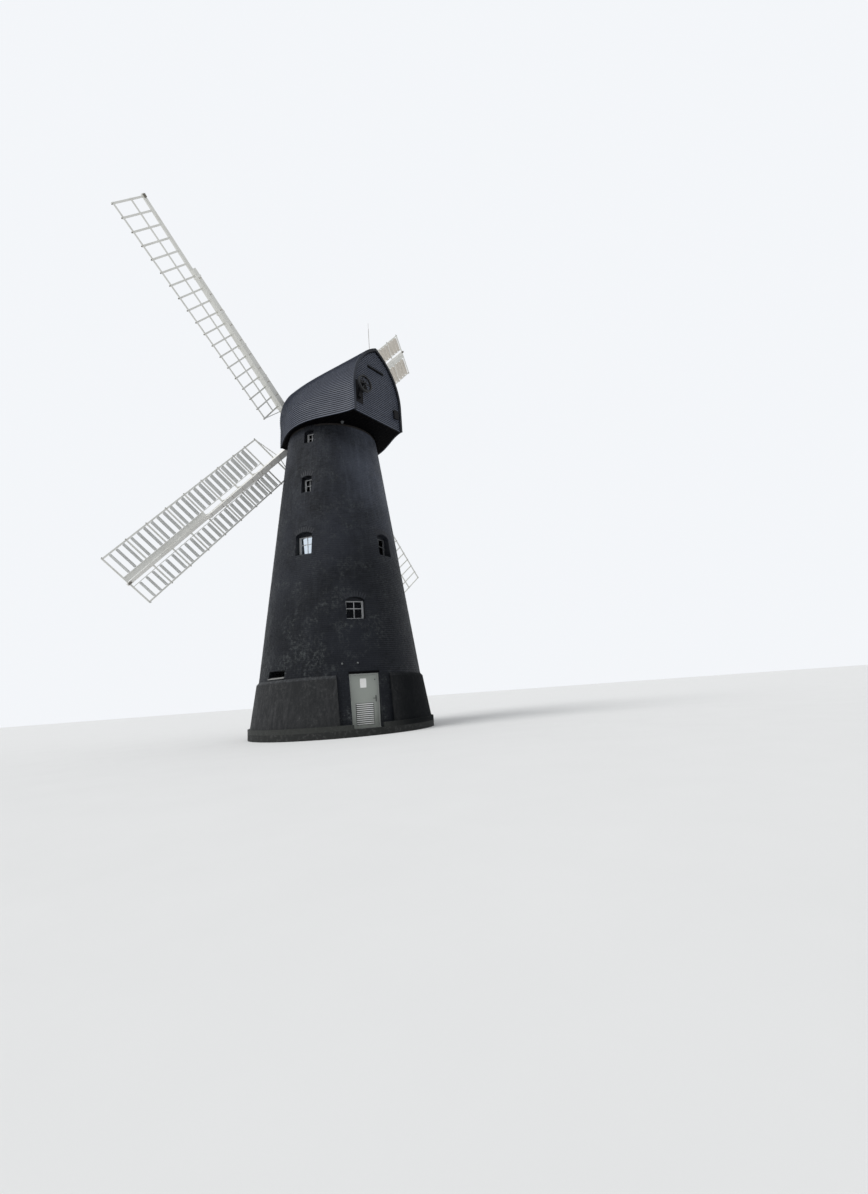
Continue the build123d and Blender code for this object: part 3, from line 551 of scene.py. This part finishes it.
glass = mottled(
    "window glass", 0.4, (0.05, 0.06, 0.07), (0.09, 0.10, 0.12), 2,
    Roughness=0.04, Transmission_Weight=1.0, IOR=1.45, Specular_Tint=(0.14, 0.15, 0.17, 1),
)
spot = glass.place()
x, _, z = glass.parts(spot)
# The panes of the second-floor window at 20 degrees get a pale sky blue and a mirror finish, as a
# painted sky reflection.
sky_reflection_panes = x.above(1.2, 1.3) * z.above(6.4, 6.5) * (1 - z.above(7.6, 7.7))
glass.stain(sky_reflection_panes, (0.76, 0.84, 0.92))
glass.give("Metallic", sky_reflection_panes * 0.92)
glass.relief(glass.cloud(spot, 0.4, 2), 0.004, 0.25)
paint("window_glass", glass)

set_back, frame_depth, frame_width = 0.20, 0.07, 0.05
bars, boards = bmesh.new(), bmesh.new()
for azimuth, sill, width, height, rise in openings:
    chord = math.cos(0.5 * width / wall_radius(sill))
    back = wall_radius(sill + height) * chord - set_back - frame_depth
    turn = Matrix.Rotation(azimuth, 4, "Z")
    clear = width - 2 * frame_width
    thin = 0.030 if width > 0.5 else 0.024
    depth, face = back + frame_depth / 2, back + frame_depth + 0.008
    middle, top, rail = sill + height / 2, sill + height - rise, sill + frame_width + 0.02
    block(bars, at(turn, depth, 0, middle), (0.034, thin, height - frame_width))
    block(bars, at(turn, depth, 0, middle + 0.02), (0.030, clear + 0.01, thin))
    block(bars, at(turn, depth + 0.006, 0, rail), (0.05, clear + 0.02, 0.05))
    block(bars, at(turn, depth, 0, top - 0.03), (0.05, clear + 0.01, 0.04))
    for side in (-1, 1):
        stile = side * (clear / 2 - 0.008)
        block(bars, at(turn, depth, stile, middle), (0.045, 0.02, height - 0.12))
    block(boards, at(turn, face, 0, top + rise / 2 - 0.004), (0.014, width - 0.02, rise + 0.03))
piece("window_bars", bars, frame_paint, "tower", 0.004, 2)
piece("window_heads", boards, tar_brick, "tower", 0.003)


# Vent. A low louvre of black steel, set in the wall just above the rendered base. Under it lies
# a sill of cast stone, bedded in mortar, whose top slopes outwards so that rain runs off.

black_steel = Finish("black steel", Specular_IOR_Level=0.25)
spot = black_steel.place()
rust = black_steel.cloud(spot, 0.07, 5, 0.7).above(0.58, 0.75)
black_steel.give("Base Color", black_steel.layers(
    (0.010, 0.011, 0.013), (rust * 0.5, (0.060, 0.034, 0.020)),
))
black_steel.give("Roughness", 0.38 + rust * 0.35)
black_steel.relief(black_steel.cloud(spot, 0.01, 4), 0.001)
paint("vent_louvre", black_steel)

cast_stone = Finish("cast stone", Roughness=0.75, Specular_IOR_Level=0.3)
spot = cast_stone.place()
worn = cast_stone.cloud(spot, 0.06, 6, 0.7)
cast_stone.give("Base Color", cast_stone.blend(worn, (0.16, 0.16, 0.16), (0.34, 0.34, 0.33)))
cast_stone.relief(worn, 0.003)


def skin(rings):
    """Corners of the faces that join rings of corners, one to the next, and close both ends."""
    faces = [rings[0], rings[-1][::-1]]
    for first, second in zip(rings, rings[1:]):
        for k in range(len(first)):
            n = (k + 1) % len(first)
            faces.append((first[k], second[k], second[n], first[n]))
    return faces


sill_mesh = bmesh.new()
slope = [(-0.20, 0.0), (0.035, 0.0), (0.035, 0.022), (-0.12, 0.066), (-0.20, 0.066)]
radius = wall_radius(vent_sill) - 0.02
turn = Matrix.Rotation(vent_azimuth, 4, "Z")
rings = []
for side in (-1, 1):
    end = side * (vent_width / 2 - 0.002)
    points = [turn @ Vector((radius + out, end, vent_sill + up)) for out, up in slope]
    rings.append([sill_mesh.verts.new(point) for point in points])
for corners in skin(rings):
    sill_mesh.faces.new(corners)
piece("vent_sill", sill_mesh, cast_stone, "tower", 0.005, 2)


# Door. A flat steel leaf in grey gloss with a louvred panel at its foot, hung in a steel frame,
# with a lever handle, a bare plate fixed by four screws, and a small round cap near its top.

def steel_gloss(name, colour, dull, rough):
    """Grey paint on sheet steel, scuffed and dusty low down."""
    finish = Finish(name, Specular_IOR_Level=0.5)
    spot = finish.place()
    z = finish.parts(spot)[2]
    dust = (1 - z.above(0.2, 0.9)) * finish.cloud(spot, 0.12, 5, 0.7).above(0.4, 0.7)
    scuff = finish.cloud(spot, 0.035, 5, 0.7).above(0.62, 0.70)
    shade = finish.cloud(spot, 0.7, 3)
    finish.give("Base Color", finish.layers(
        colour,
        (shade, dull),
        (dust * 0.35, (0.16, 0.15, 0.12)),
        (scuff * 0.5, tuple(c * 0.45 for c in dull)),
    ))
    finish.give("Roughness", rough + dust * 0.3 + scuff * 0.1)
    finish.relief(finish.cloud(spot, 0.25, 3) + scuff * 0.1, 0.003, 0.4)
    return finish


door_grey = steel_gloss("grey door paint", (0.32, 0.345, 0.315), (0.27, 0.29, 0.265), 0.38)
frame_grey = steel_gloss("door frame paint", (0.42, 0.44, 0.42), (0.35, 0.37, 0.345), 0.42)
handle_metal = mottled(
    "worn handle", 0.02, (0.03, 0.03, 0.032), (0.09, 0.09, 0.09), Metallic=0.7, Roughness=0.35,
)
paint("door_leaf", door_grey)
paint("door_frame", frame_grey)
paint("door_handle", handle_metal)

door_face = 3.06
door_place = at(Matrix.Rotation(door_azimuth, 4, "Z"), door_face, 0, 0)
plate_side, plate_height = -0.03, 1.775
plate_paint = steel_gloss("bare plate", (0.92, 0.92, 0.90), (0.84, 0.84, 0.82), 0.35)
plate = bmesh.new()
block(plate, at(door_place, 0.003, plate_side, plate_height), (0.006, 0.23, 0.32))
piece("door_plate", plate, plate_paint, "door", 0.002)


def screw(mesh, place, radius, height, sides=12):
    """A domed head on a placed frame, standing along its Z axis."""
    bmesh.ops.create_cone(
        mesh, cap_ends=True, segments=sides, radius1=radius, radius2=radius * 0.7, depth=height,
        matrix=at(place, 0, 0, height / 2),
    )


outward = Matrix.Rotation(math.pi / 2, 4, "Y")
heads = bmesh.new()
for side in (-0.1, 0.1):
    for up in (-0.135, 0.135):
        spot = at(door_place, 0.006, side + plate_side, plate_height + up)
        screw(heads, spot @ outward, 0.007, 0.004)
screw(heads, at(door_place, 0.001, 0.40, 1.88) @ outward, 0.022, 0.012, 16)
piece("plate_screws", heads, handle_metal, "door")

leaf_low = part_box("door_leaf")[0][2]
# The louvre's blade lips are painted far paler than the leaf, a painted highlight where they catch
# the light, and the near-black sheet behind them is painted shade.
lip_highlight_paint = steel_gloss("louvre lip highlight", (0.78, 0.79, 0.77), (0.62, 0.63, 0.61), 0.4)
shade_paint = steel_gloss("louvre shade", (0.055, 0.060, 0.055), (0.04, 0.044, 0.04), 0.6)
lips, shade = bmesh.new(), bmesh.new()
blades, panel_foot, panel_height = 11, leaf_low + 0.095, 0.740
tilt = Matrix.Rotation(math.radians(-28), 4, "Y")
for k in range(blades):
    z = panel_foot + (k + 0.5) * panel_height / blades
    block(lips, at(door_place, 0.006, 0, z) @ tilt, (0.006, 0.61, 0.036))
block(shade, at(door_place, -0.003, 0, panel_foot + panel_height / 2), (0.006, 0.63, 0.73))
piece("louvre_lips", lips, lip_highlight_paint, "door", 0.001)
piece("louvre_shade", shade, shade_paint, "door")


# Head of the doorway. A black steel angle closes the brickwork over the door. It is tarred with
# the wall and lies in the shade of the reveal.

shadow_steel = mottled(
    "tarred head steel", 0.1, (0.001, 0.001, 0.001), (0.004, 0.004, 0.005),
    Roughness=0.8, Specular_IOR_Level=0.05,
)
head = bmesh.new()
block(head, at(door_place, 0.055, 0.0, 2.145), (0.15, 1.10, 0.078))
piece("door_head", head, shadow_steel, "tower", 0.004, 2)


# Lights by the door. Two small bulkhead lamps in painted metal, each a round housing on a wider
# round back, fixed to the wall over the door.

def bulkhead_lamp(mesh, place, back, housing):
    """A round back of one radius and a housing of another, standing along the Z axis."""
    screw(mesh, place, back, 0.03, 24)
    screw(mesh, at(place, 0, 0, 0.028), housing, 0.05, 24)


lamp_metal = mottled(
    "lamp housing", 0.03, (0.12, 0.125, 0.125), (0.24, 0.25, 0.25), Roughness=0.4, Metallic=0.2,
)
lamp_height = 2.48
lamp_box = bmesh.new()
radius = wall_radius(lamp_height)
for side in (-0.75, -0.21):
    turn = Matrix.Rotation(door_azimuth + side / radius, 4, "Z")
    bulkhead_lamp(lamp_box, at(turn, radius, 0, lamp_height) @ outward, 0.038, 0.028)
piece("door_lamps", lamp_box, lamp_metal, "tower", 0.003, 2)


# Curb and floors. An oak ring lies on top of the wall and carries the cap, whose beams are
# tarred. Inside, softwood boards are nailed to joists at each storey.

def sawn_timber(name, pale, dark, along, shine=0.3):
    """Boards with grain along x (0) or y (1), and joints between boards across it."""
    finish = Finish(name, Specular_IOR_Level=shine)
    axes = finish.parts(finish.place())
    fine = [axis * (1.5 if k == along else 30.0) for k, axis in enumerate(axes)]
    grain = finish.cloud(finish.together(*fine), 1.0, 6, 0.6)
    board = {
        "Vector": finish.together(axes[along], axes[1 - along], 0.0),
        "Scale": 1.0, "Brick Width": 2.7, "Row Height": 0.16,
        "Mortar Size": 0.004, "Mortar Smooth": 0.2,
        "Color1": (0, 0, 0, 1), "Color2": (1, 1, 1, 1),
    }
    joint = finish.node("ShaderNodeTexBrick", board, output="Fac")
    each = finish.parts(finish.node("ShaderNodeTexBrick", board))[0]
    finish.give("Base Color", finish.layers(
        pale,
        (grain, dark),
        (each * 0.3, dark),
        (joint, (0.02, 0.015, 0.01)),
    ))
    finish.give("Roughness", 0.6 + grain * 0.25)
    finish.relief(grain * 0.4 - joint, 0.004)
    return finish


floor_boards = sawn_timber("floor boards", (0.40, 0.29, 0.18), (0.24, 0.16, 0.09), 0)
for storey in storeys[1:]:
    paint(f"{storey}_floor", floor_boards)
dark_oak = sawn_timber("tarred oak", (0.035, 0.032, 0.030), (0.018, 0.016, 0.015), 0)
paint("curb", dark_oak)
cap_beams = sawn_timber(
    "tarred cap beams", (0.040, 0.036, 0.033), (0.020, 0.018, 0.016), 1, shine=0.1,
)
paint("cap_frame", cap_beams)


# Cap. A boat-shaped shell of overlapping weatherboards nailed to curved ribs, painted black.
# Both sides rise from the eaves to a level ridge. Boards close the gable and the bow.

cap_bottom, cap_height = 12.27, 3.255
board_pitch, board_lap, shortest_board, board_step = 0.085, 0.12, 0.5, 0.13
board_lip, board_head = 0.030, 0.009
skin_start, bow_core, bow_face, gable_face, skin_end = 1.61, 1.53, 1.540, 2.840, 2.905
hub_height, shaft_tilt = 13.03, math.radians(9.5)


def black_boards(name):
    """Black paint on weatherboards, with a painted highlight on their lips and painted shade above
    them, under the next board.
    """
    finish = Finish(name, Specular_IOR_Level=0.2)
    along, across = finish.parts(finish.node("ShaderNodeTexCoord", output="UV"))[:2]
    row = finish.node("ShaderNodeMath", {0: across}, operation="FLOOR")
    up = across - row
    tint = finish.node("ShaderNodeTexWhiteNoise", {"W": row}, noise_dimensions="1D")
    grain = finish.cloud(finish.together(along * 1.2, across * 2.4, row), 1.0, 6, 0.6)
    length = finish.cloud(finish.together(along * 0.8, row * 3.7, 0.0), 1.0, 3)
    fade = finish.cloud(finish.place(), 0.8, 4).above(0.4, 0.75)
    finish.give("Base Color", finish.layers(
        (0.016, 0.020, 0.030),
        (tint * 0.6 + length * 0.4, (0.036, 0.042, 0.062)),
        # A pale bluish band at each board's foot is a painted highlight; a near-black band at its
        # head is painted shade under the board above.
        ((1 - up.above(0.20, 0.45)) * 0.75, (0.135, 0.150, 0.195)),
        (up.above(0.42, 0.70) * 0.92, (0.002, 0.003, 0.005)),
        (fade * 0.35, (0.052, 0.058, 0.075)),
    ))
    finish.give("Roughness", 0.36 + grain * 0.18 + fade * 0.1)
    finish.relief(grain, 0.002, 0.6)
    return finish


def lay_boards(name, levels, spans, surface, seed):
    """Lapped boards in lengths of two to three metres, one row on each level."""
    lengths = random.Random(seed)
    mesh = bmesh.new()
    marks = mesh.loops.layers.uv.new("board")
    for row, (foot, following) in enumerate(zip(levels, levels[1:])):
        head = following + board_lap * (following - foot)
        for start, end in spans(foot, head):
            here = start
            while end - here > 0.03:
                there = min(end, here + lengths.uniform(1.9, 3.3))
                there = end if end - there < shortest_board else there
                add_board(mesh, marks, surface, row, foot, head, here + 0.001, there - 0.001)
                here = there
    piece(name, mesh, board_finish, "cap")


def add_board(mesh, marks, surface, row, foot, head, here, there):
    """One board: its foot stands out over the board below and its head tucks under the next."""
    count = max(2, math.ceil((there - here) / board_step) + 1)
    edges = (
        (foot, board_lip, 0.02), (head, board_head, 0.98), (head, 0.001, 0.98), (foot, 0.010, 0.02),
    )
    rings = []
    for k in range(count):
        along = here + (there - here) * k / (count - 1)
        ring = []
        for z, out, up in edges:
            point, normal = surface(along, z)
            ring.append((mesh.verts.new(point + normal * out), (along, row + up)))
        rings.append(ring)
    for corners in skin(rings):
        face = mesh.faces.new([corner for corner, mark in corners])
        for loop, (corner, mark) in zip(face.loops, corners):
            loop[marks].uv = mark


def bow(z, distance):
    """Where a plane across the windshaft meets a height, along the mill."""
    return -(distance - (z - hub_height) * math.sin(shaft_tilt)) / math.cos(shaft_tilt)


board_finish = black_boards("black weatherboards")
under_boards = mottled(
    "black under the boards", 0.2, (0.004, 0.005, 0.007), (0.014, 0.016, 0.022),
    Roughness=0.6, Specular_IOR_Level=0.1,
)
for node in ("cap_left_side", "cap_right_side", "cap_rear_gable", "cap_front_wall"):
    paint(node, under_boards)


def cad_faces(node):
    """The faces of a CAD node, for rays to meet."""
    mesh = nodes[node].data
    corners = [vertex.co for vertex in mesh.vertices]
    return BVHTree.FromPolygons(corners, [face.vertices for face in mesh.polygons])


level_count = int((cap_height - 0.05) / board_pitch) + 1
level_boards = [cap_bottom + board_pitch * k for k in range(level_count)]
walk_step = 0.001
walk_steps = round((cap_height - 0.015) / walk_step)
for node, side in (("cap_left_side", 1), ("cap_right_side", -1)):
    tree = cad_faces(node)

    def on_side(y, z):
        """The skin's point and outward normal at a place along the mill and a height."""
        z = min(z, cap_bottom + cap_height - 0.012)
        start = Vector((side * 4, min(y, 2.899), max(z, cap_bottom + 0.003)))
        hit, normal = tree.ray_cast(start, Vector((-side, 0, 0)))[:2]
        return hit and (Vector((hit.x, y, z)), normal)

    def side_spans(foot, head):
        """From the bow's edge, where the skin begins over the whole board, to past the gable."""
        y = bow(head, skin_start)
        while not all(on_side(y, z) for z in (foot, (foot + head) / 2, head)):
            y += 0.005
        return [(y, skin_end)]

    levels, walked, last = [cap_bottom], 0.0, on_side(1.5, cap_bottom)[0]
    for k in range(1, walk_steps + 1):
        here = on_side(1.5, cap_bottom + k * walk_step)[0]
        walked += (here - last).length
        last = here
        if walked >= board_pitch * len(levels):
            levels.append(here.z)
    lay_boards(node.replace("side", "boards"), levels, side_spans, on_side, 7 + side)


def tapered(x, near, far, start, end):
    """A size that runs evenly from start, at near, to end, at far."""
    return start + (end - start) * (x - near) / (far - near)


def gable_half(z):
    """Half width between the edge boards of the gable at a height."""
    outline = gable_line(0.060)
    for (x0, z0), (x1, z1) in zip(outline, outline[1:]):
        if z0 <= z - cap_bottom <= z1:
            return tapered(z - cap_bottom, z0, z1, x0, x1)
    return 0.0


def circle_middle(a, b, c):
    """Middle of the circle through three points."""
    d = 2 * (a.x * (b.y - c.y) + b.x * (c.y - a.y) + c.x * (a.y - b.y))
    aa, bb, cc = a.length_squared, b.length_squared, c.length_squared
    x = (aa * (b.y - c.y) + bb * (c.y - a.y) + cc * (a.y - b.y)) / d
    y = (aa * (c.x - b.x) + bb * (a.x - c.x) + cc * (b.x - a.x)) / d
    return x, y


def gable_line(inset):
    """The gable's outline, set in by a distance, from one foot over the ridge to the other."""
    half, height, eaves, bulge = 1.340 - inset, cap_height - inset * 1.25, 1.015, 0.142
    steps = 40
    rise = height - eaves
    middle = Vector((half / 2 + bulge * rise, eaves + rise / 2 + bulge * half))
    u, v = circle_middle(Vector((half, eaves)), middle, Vector((0, height)))
    radius = math.hypot(half - u, eaves - v)
    start, end = math.atan2(eaves - v, half - u), math.atan2(height - v, -u)
    turns = [start + (end - start) * k / steps for k in range(steps + 1)]
    points = [(half, -0.02)] + [(u + radius * math.cos(t), v + radius * math.sin(t)) for t in turns]
    return points + [(-x, z) for x, z in points[-2::-1]]


lay_boards(
    "cap_gable_boards", level_boards, lambda foot, head: [(-gable_half(head), gable_half(head))],
    lambda x, z: (Vector((x, gable_face, z)), Vector((0, 1, 0))), 21,
)

front_tree = cad_faces("cap_front_wall")
front_normal = Vector((0, -math.cos(shaft_tilt), math.sin(shaft_tilt)))
shaft_hole, tower_hole, tower_hole_top = 0.222, 1.915, 12.42


def front_spans(foot, head):
    """Widths of the bow's boards at a height, on either side of the windshaft."""
    z = (foot + head) / 2
    y = bow(z, bow_core)
    hit = front_tree.ray_cast(Vector((4, y, z)), Vector((-1, 0, 0)))[0]
    if hit is None:
        return []
    half = hit.x - 0.012
    shaft = hub_height + bow_face * math.sin(shaft_tilt)
    gap = math.sqrt(max(0.0, shaft_hole ** 2 - (z - shaft) ** 2))
    if z < tower_hole_top:
        gap = math.sqrt(max(0.0, tower_hole ** 2 - y * y))
    return [(-half, -gap), (gap, half)] if gap else [(-half, half)]


lay_boards(
    "cap_front_boards", level_boards, front_spans,
    lambda x, z: (Vector((x, bow(z, bow_face), z)), front_normal), 22,
)
# The soffit boards are black paint darkened further, as painted shade under the overhang.
shaded_soffit_boards = sawn_timber(
    "black soffit boards in painted shade", (0.002, 0.002, 0.003), (0.001, 0.001, 0.0015), 1, shine=0.02,
)
paint("cap_soffit", shaded_soffit_boards)


# Edge boards and ridge. Shaped boards are nailed over the ends of the weatherboards round the
# gable, and a folded strip covers the ridge. Both are painted black and have faded on one side.

edge_paint = mottled(
    "black edge boards", 0.2, (0.006, 0.007, 0.010), (0.016, 0.018, 0.023), 5,
    Roughness=0.5, Specular_IOR_Level=0.15,
)
spot = edge_paint.place()
faded = edge_paint.parts(spot)[0].above(0.35, 0.75)
edge_paint.stain(faded * 0.8, (0.038, 0.043, 0.056))
edge_paint.relief(edge_paint.cloud(spot, 0.02, 4), 0.002)

edge_back, edge_front = 2.870, 2.925
outer, inner = gable_line(-0.022), gable_line(0.085)
section = ((outer, edge_back), (outer, edge_front), (inner, edge_front), (inner, edge_back))
edge_rings = [
    [(line[k][0], y, cap_bottom + line[k][1]) for line, y in section] for k in range(len(outer))
]
ridge_z, ridge_ends = cap_bottom + cap_height, (2.92, -1.13)
fold = [(-0.13, -0.10), (0, 0.022), (0.13, -0.10), (0.118, -0.115), (0, 0.004), (-0.118, -0.115)]
ridge_rings = [[(x, y, ridge_z + z) for x, z in fold] for y in ridge_ends]
for name, rings in (("gable_edge", edge_rings), ("ridge_strip", ridge_rings)):
    mesh = bmesh.new()
    for corners in skin([[mesh.verts.new(point) for point in ring] for ring in rings]):
        mesh.faces.new(corners)
    bmesh.ops.recalc_face_normals(mesh, faces=mesh.faces)
    piece(name, mesh, edge_paint, "cap", 0.004, 2)


# Ironwork. The cast chain wheel that once turned the cap, its bracket, a rail and a vent box are
# bolted to the gable, the bracket over a flat plate and the vent box under a black lid. A black
# strip along the rail and a black disc behind the wheel are painted shade. All are painted black,
# as are the windshaft and its bearings. A thin rod of bare metal stands on the ridge.

iron = Finish("painted iron", Specular_IOR_Level=0.25)
spot = iron.place()
rust = iron.cloud(spot, 0.15, 5, 0.7).above(0.56, 0.74)
iron.give("Base Color", iron.blend(rust * 0.35, (0.010, 0.011, 0.013), (0.060, 0.034, 0.022)))
iron.give("Roughness", 0.42 + rust * 0.3)
iron.relief(iron.cloud(spot, 0.02, 5, 0.7), 0.002)
for name in ("chain_wheel", "windshaft", "poll_end", "neck_bearing", "tail_bearing"):
    paint(name, iron)
black_iron = mottled(
    "black iron", 0.05, (0.002, 0.002, 0.003), (0.009, 0.009, 0.010), 5,
    Roughness=0.6, Specular_IOR_Level=0.12,
)
black_iron.relief(black_iron.cloud(black_iron.place(), 0.02, 4), 0.002)
paint("wheel_bracket", black_iron)
paint("gable_fittings", black_iron)
upright_plate = ((1.03, 2.876, 13.12), (0.36, 0.018, 0.96))
# A black strip along the rail stands for its shadow: painted shadow.
rail_shadow_strip = ((0.05, 2.876, 14.52), (0.90, 0.018, 0.10))
vent_plate = ((-1.01, 2.940, 12.92), (0.26, 0.016, 0.40))
pads = bmesh.new()
for middle, size in (upright_plate, rail_shadow_strip, vent_plate):
    block(pads, Matrix.Translation(middle), size)
# A black disc behind the wheel is painted shade within its rim.
wheel_shade_disc = Matrix.Translation((0.87, 2.868, 13.46)) @ Matrix.Rotation(-math.pi / 2, 4, "X")
screw(pads, wheel_shade_disc, 0.27, 0.016, 32)
piece("gable_plates_and_shade", pads, black_iron, "cap", 0.003, 2)
rod_metal = mottled(
    "dull rod", 0.05, (0.20, 0.19, 0.18), (0.34, 0.32, 0.30), Metallic=0.9, Roughness=0.5,
)
paint("lightning_rod", rod_metal)


# Sails. Two stocks cross in the iron poll end. Each carries a whip at either end: two common
# sails of bars and laths, and two with shutters on both sides. All are softwood, painted white.

timber_white = weathered_paint("white sail paint", (0.82, 0.82, 0.78), (0.50, 0.48, 0.42), 0.5)
stock_white = weathered_paint("weathered stock paint", (0.90, 0.89, 0.85), (0.58, 0.55, 0.48), 0.55)
# The lower sails' shutters take a greyer copy of the upper ones' paint, painted shade, as they are
# seen on their shaded side.
shutter_colours_by_light = {
    "upper": ((0.74, 0.70, 0.64), (0.48, 0.43, 0.36)),
    "lower": ((0.58, 0.59, 0.58), (0.34, 0.34, 0.32)),
}
for end, (pale, dirty) in shutter_colours_by_light.items():
    shutter_paint = weathered_paint(f"{end} shutter paint", pale, dirty, 0.5, 0.7)
    paint(f"{end}_common_whip", timber_white)
    paint(f"{end}_common_lattice", timber_white)
    paint(f"{end}_patent_whip", stock_white)
    for side in ("leading", "trailing"):
        paint(f"{end}_patent_{side}_frame", timber_white)
        paint(f"{end}_patent_{side}_shutters", shutter_paint)
paint("common_stock", timber_white)
paint("patent_stock", stock_white)
clamp_paint = weathered_paint("painted clamps", (0.88, 0.88, 0.85), (0.50, 0.44, 0.36), 0.45, 0.3)
paint("stock_clamps", clamp_paint)


# Sail fittings. Through-bolts hold each whip to its stock, pegs wedge the bars behind the hem
# laths, and a tarred block stops the end of each whip.

rest_turn = 41.1
common_plane, patent_plane = 2.225, 2.515
heel_bar, tip_bar, whip_tip, sail_heel, poll_edge = 1.755, 10.08, 10.16, 0.6, 0.45
bolt_start, bolt_spacing = 0.95, 0.62


def sail_place(quarter, plane):
    """Axes of one sail: outwards along the whip, to the trailing side, and back to the tower."""
    turn = math.radians(rest_turn + 90 * quarter)
    up = Vector((0, math.sin(shaft_tilt), math.cos(shaft_tilt)))
    back = Vector((0, math.cos(shaft_tilt), -math.sin(shaft_tilt)))
    along = Vector((math.cos(turn), 0, 0)) + up * math.sin(turn)
    place = Matrix((along, back.cross(along), back)).transposed().to_4x4()
    place.translation = Vector((0, 0, hub_height)) - back * plane
    return place


def whip_depth(x):
    return tapered(x, sail_heel, whip_tip, 0.15, 0.08)


def on_bar(x, reach):
    """A place on the bar at x, turned with the sail's twist."""
    twist = Matrix.Rotation(math.radians(tapered(x, heel_bar, tip_bar, 20.0, 9.5)), 4, "X")
    return at(Matrix.Translation((x, 0, -whip_depth(x) / 2)) @ twist, 0, reach, 0)


dark_peg = mottled(
    "tarred pegs", 0.02, (0.10, 0.092, 0.078), (0.22, 0.20, 0.17), Roughness=0.5,
)
bolt_paint = weathered_paint("rusty bolt paint", (0.42, 0.38, 0.33), (0.20, 0.13, 0.09), 0.5, 0.2)
common_bars = [tip_bar - k * 0.4625 for k in range(19)]
patent_bars = [1.64, 2.33] + [3.08 + k * 0.985 for k in range(7)] + [tip_bar]
common_sail = (common_plane, 7.52, common_bars, (1.56,))
patent_sail = (patent_plane, 6.10, patent_bars, (0.94, -1.19))
sails = [
    (0, "upper_common", common_sail), (2, "lower_common", common_sail),
    (-1, "lower_patent", patent_sail), (1, "upper_patent", patent_sail),
]
over = Matrix.Rotation(math.pi, 4, "X")
for quarter, name, (plane, half, bars, edges) in sails:
    place = sail_place(quarter, plane)
    bolts, pegs = bmesh.new(), bmesh.new()
    x = bolt_start
    while x < half - 0.1:
        face = tapered(x, poll_edge, half, 0.28, 0.15)
        for side in (-0.035, 0.035):
            screw(bolts, at(place, x, side, face), 0.022, 0.018, 6)
            screw(bolts, at(place, x, side, -whip_depth(x)) @ over, 0.022, 0.018, 6)
        x += bolt_spacing
    for x in bars:
        for reach in edges:
            end = reach + math.copysign(0.045, reach)
            block(pegs, place @ on_bar(min(x, 10.062), end), (0.026, 0.030, 0.045))
            screw(bolts, at(place @ on_bar(x, reach), 0, 0, 0.03), 0.012, 0.016, 6)
    block(pegs, at(place, 10.07, 0, 0.035), (0.12, 0.07, 0.07))
    piece(f"{name}_bolts", bolts, bolt_paint, "sails")
    piece(f"{name}_pegs", pegs, dark_peg, "sails", 0.004, 2)


# Poll end. The stocks pass through boxes cast in the windshaft's iron end. Oak wedges, driven in
# from both sides, hold them there.

wedge_oak = sawn_timber("oak wedges", (0.20, 0.16, 0.11), (0.10, 0.075, 0.05), 0)
wedges = bmesh.new()
for quarter in range(4):
    place = sail_place(quarter, patent_plane if quarter % 2 else common_plane)
    for side in (-1, 1):
        for up in (0.06, 0.22):
            block(wedges, at(place, poll_edge, side * 0.152, up), (0.11, 0.020, 0.07))
piece("poll_wedges", wedges, wedge_oak, "sails", 0.004, 2)


# Lamp under the soffit. One small bulkhead lamp like the two by the door but wider, screwed to
# the boards under the overhang. Its metal is a darker copy of theirs, painted shade.

shaded_lamp = mottled(
    "shaded lamp housing", 0.03, (0.03, 0.032, 0.036), (0.07, 0.075, 0.08), Roughness=0.5,
)
under = bmesh.new()
bulkhead_lamp(under, Matrix.Translation((1.02, 1.80, 12.274)) @ over, 0.075, 0.055)
piece("soffit_lamp", under, shaded_lamp, "cap", 0.004, 2)


# Rod on the ridge. A dull metal rod against lightning, in two lengths: a thinner one stands on
# the lower one and tapers upwards to its tip.

rod_foot, rod_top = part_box("lightning_rod")
rod_middle = ((rod_foot[0] + rod_top[0]) / 2, (rod_foot[1] + rod_top[1]) / 2, rod_top[2] - 0.02)
tip = bmesh.new()
screw(tip, Matrix.Translation(rod_middle), 0.007, 0.32, 8)
piece("rod_tip", tip, rod_metal, "cap")
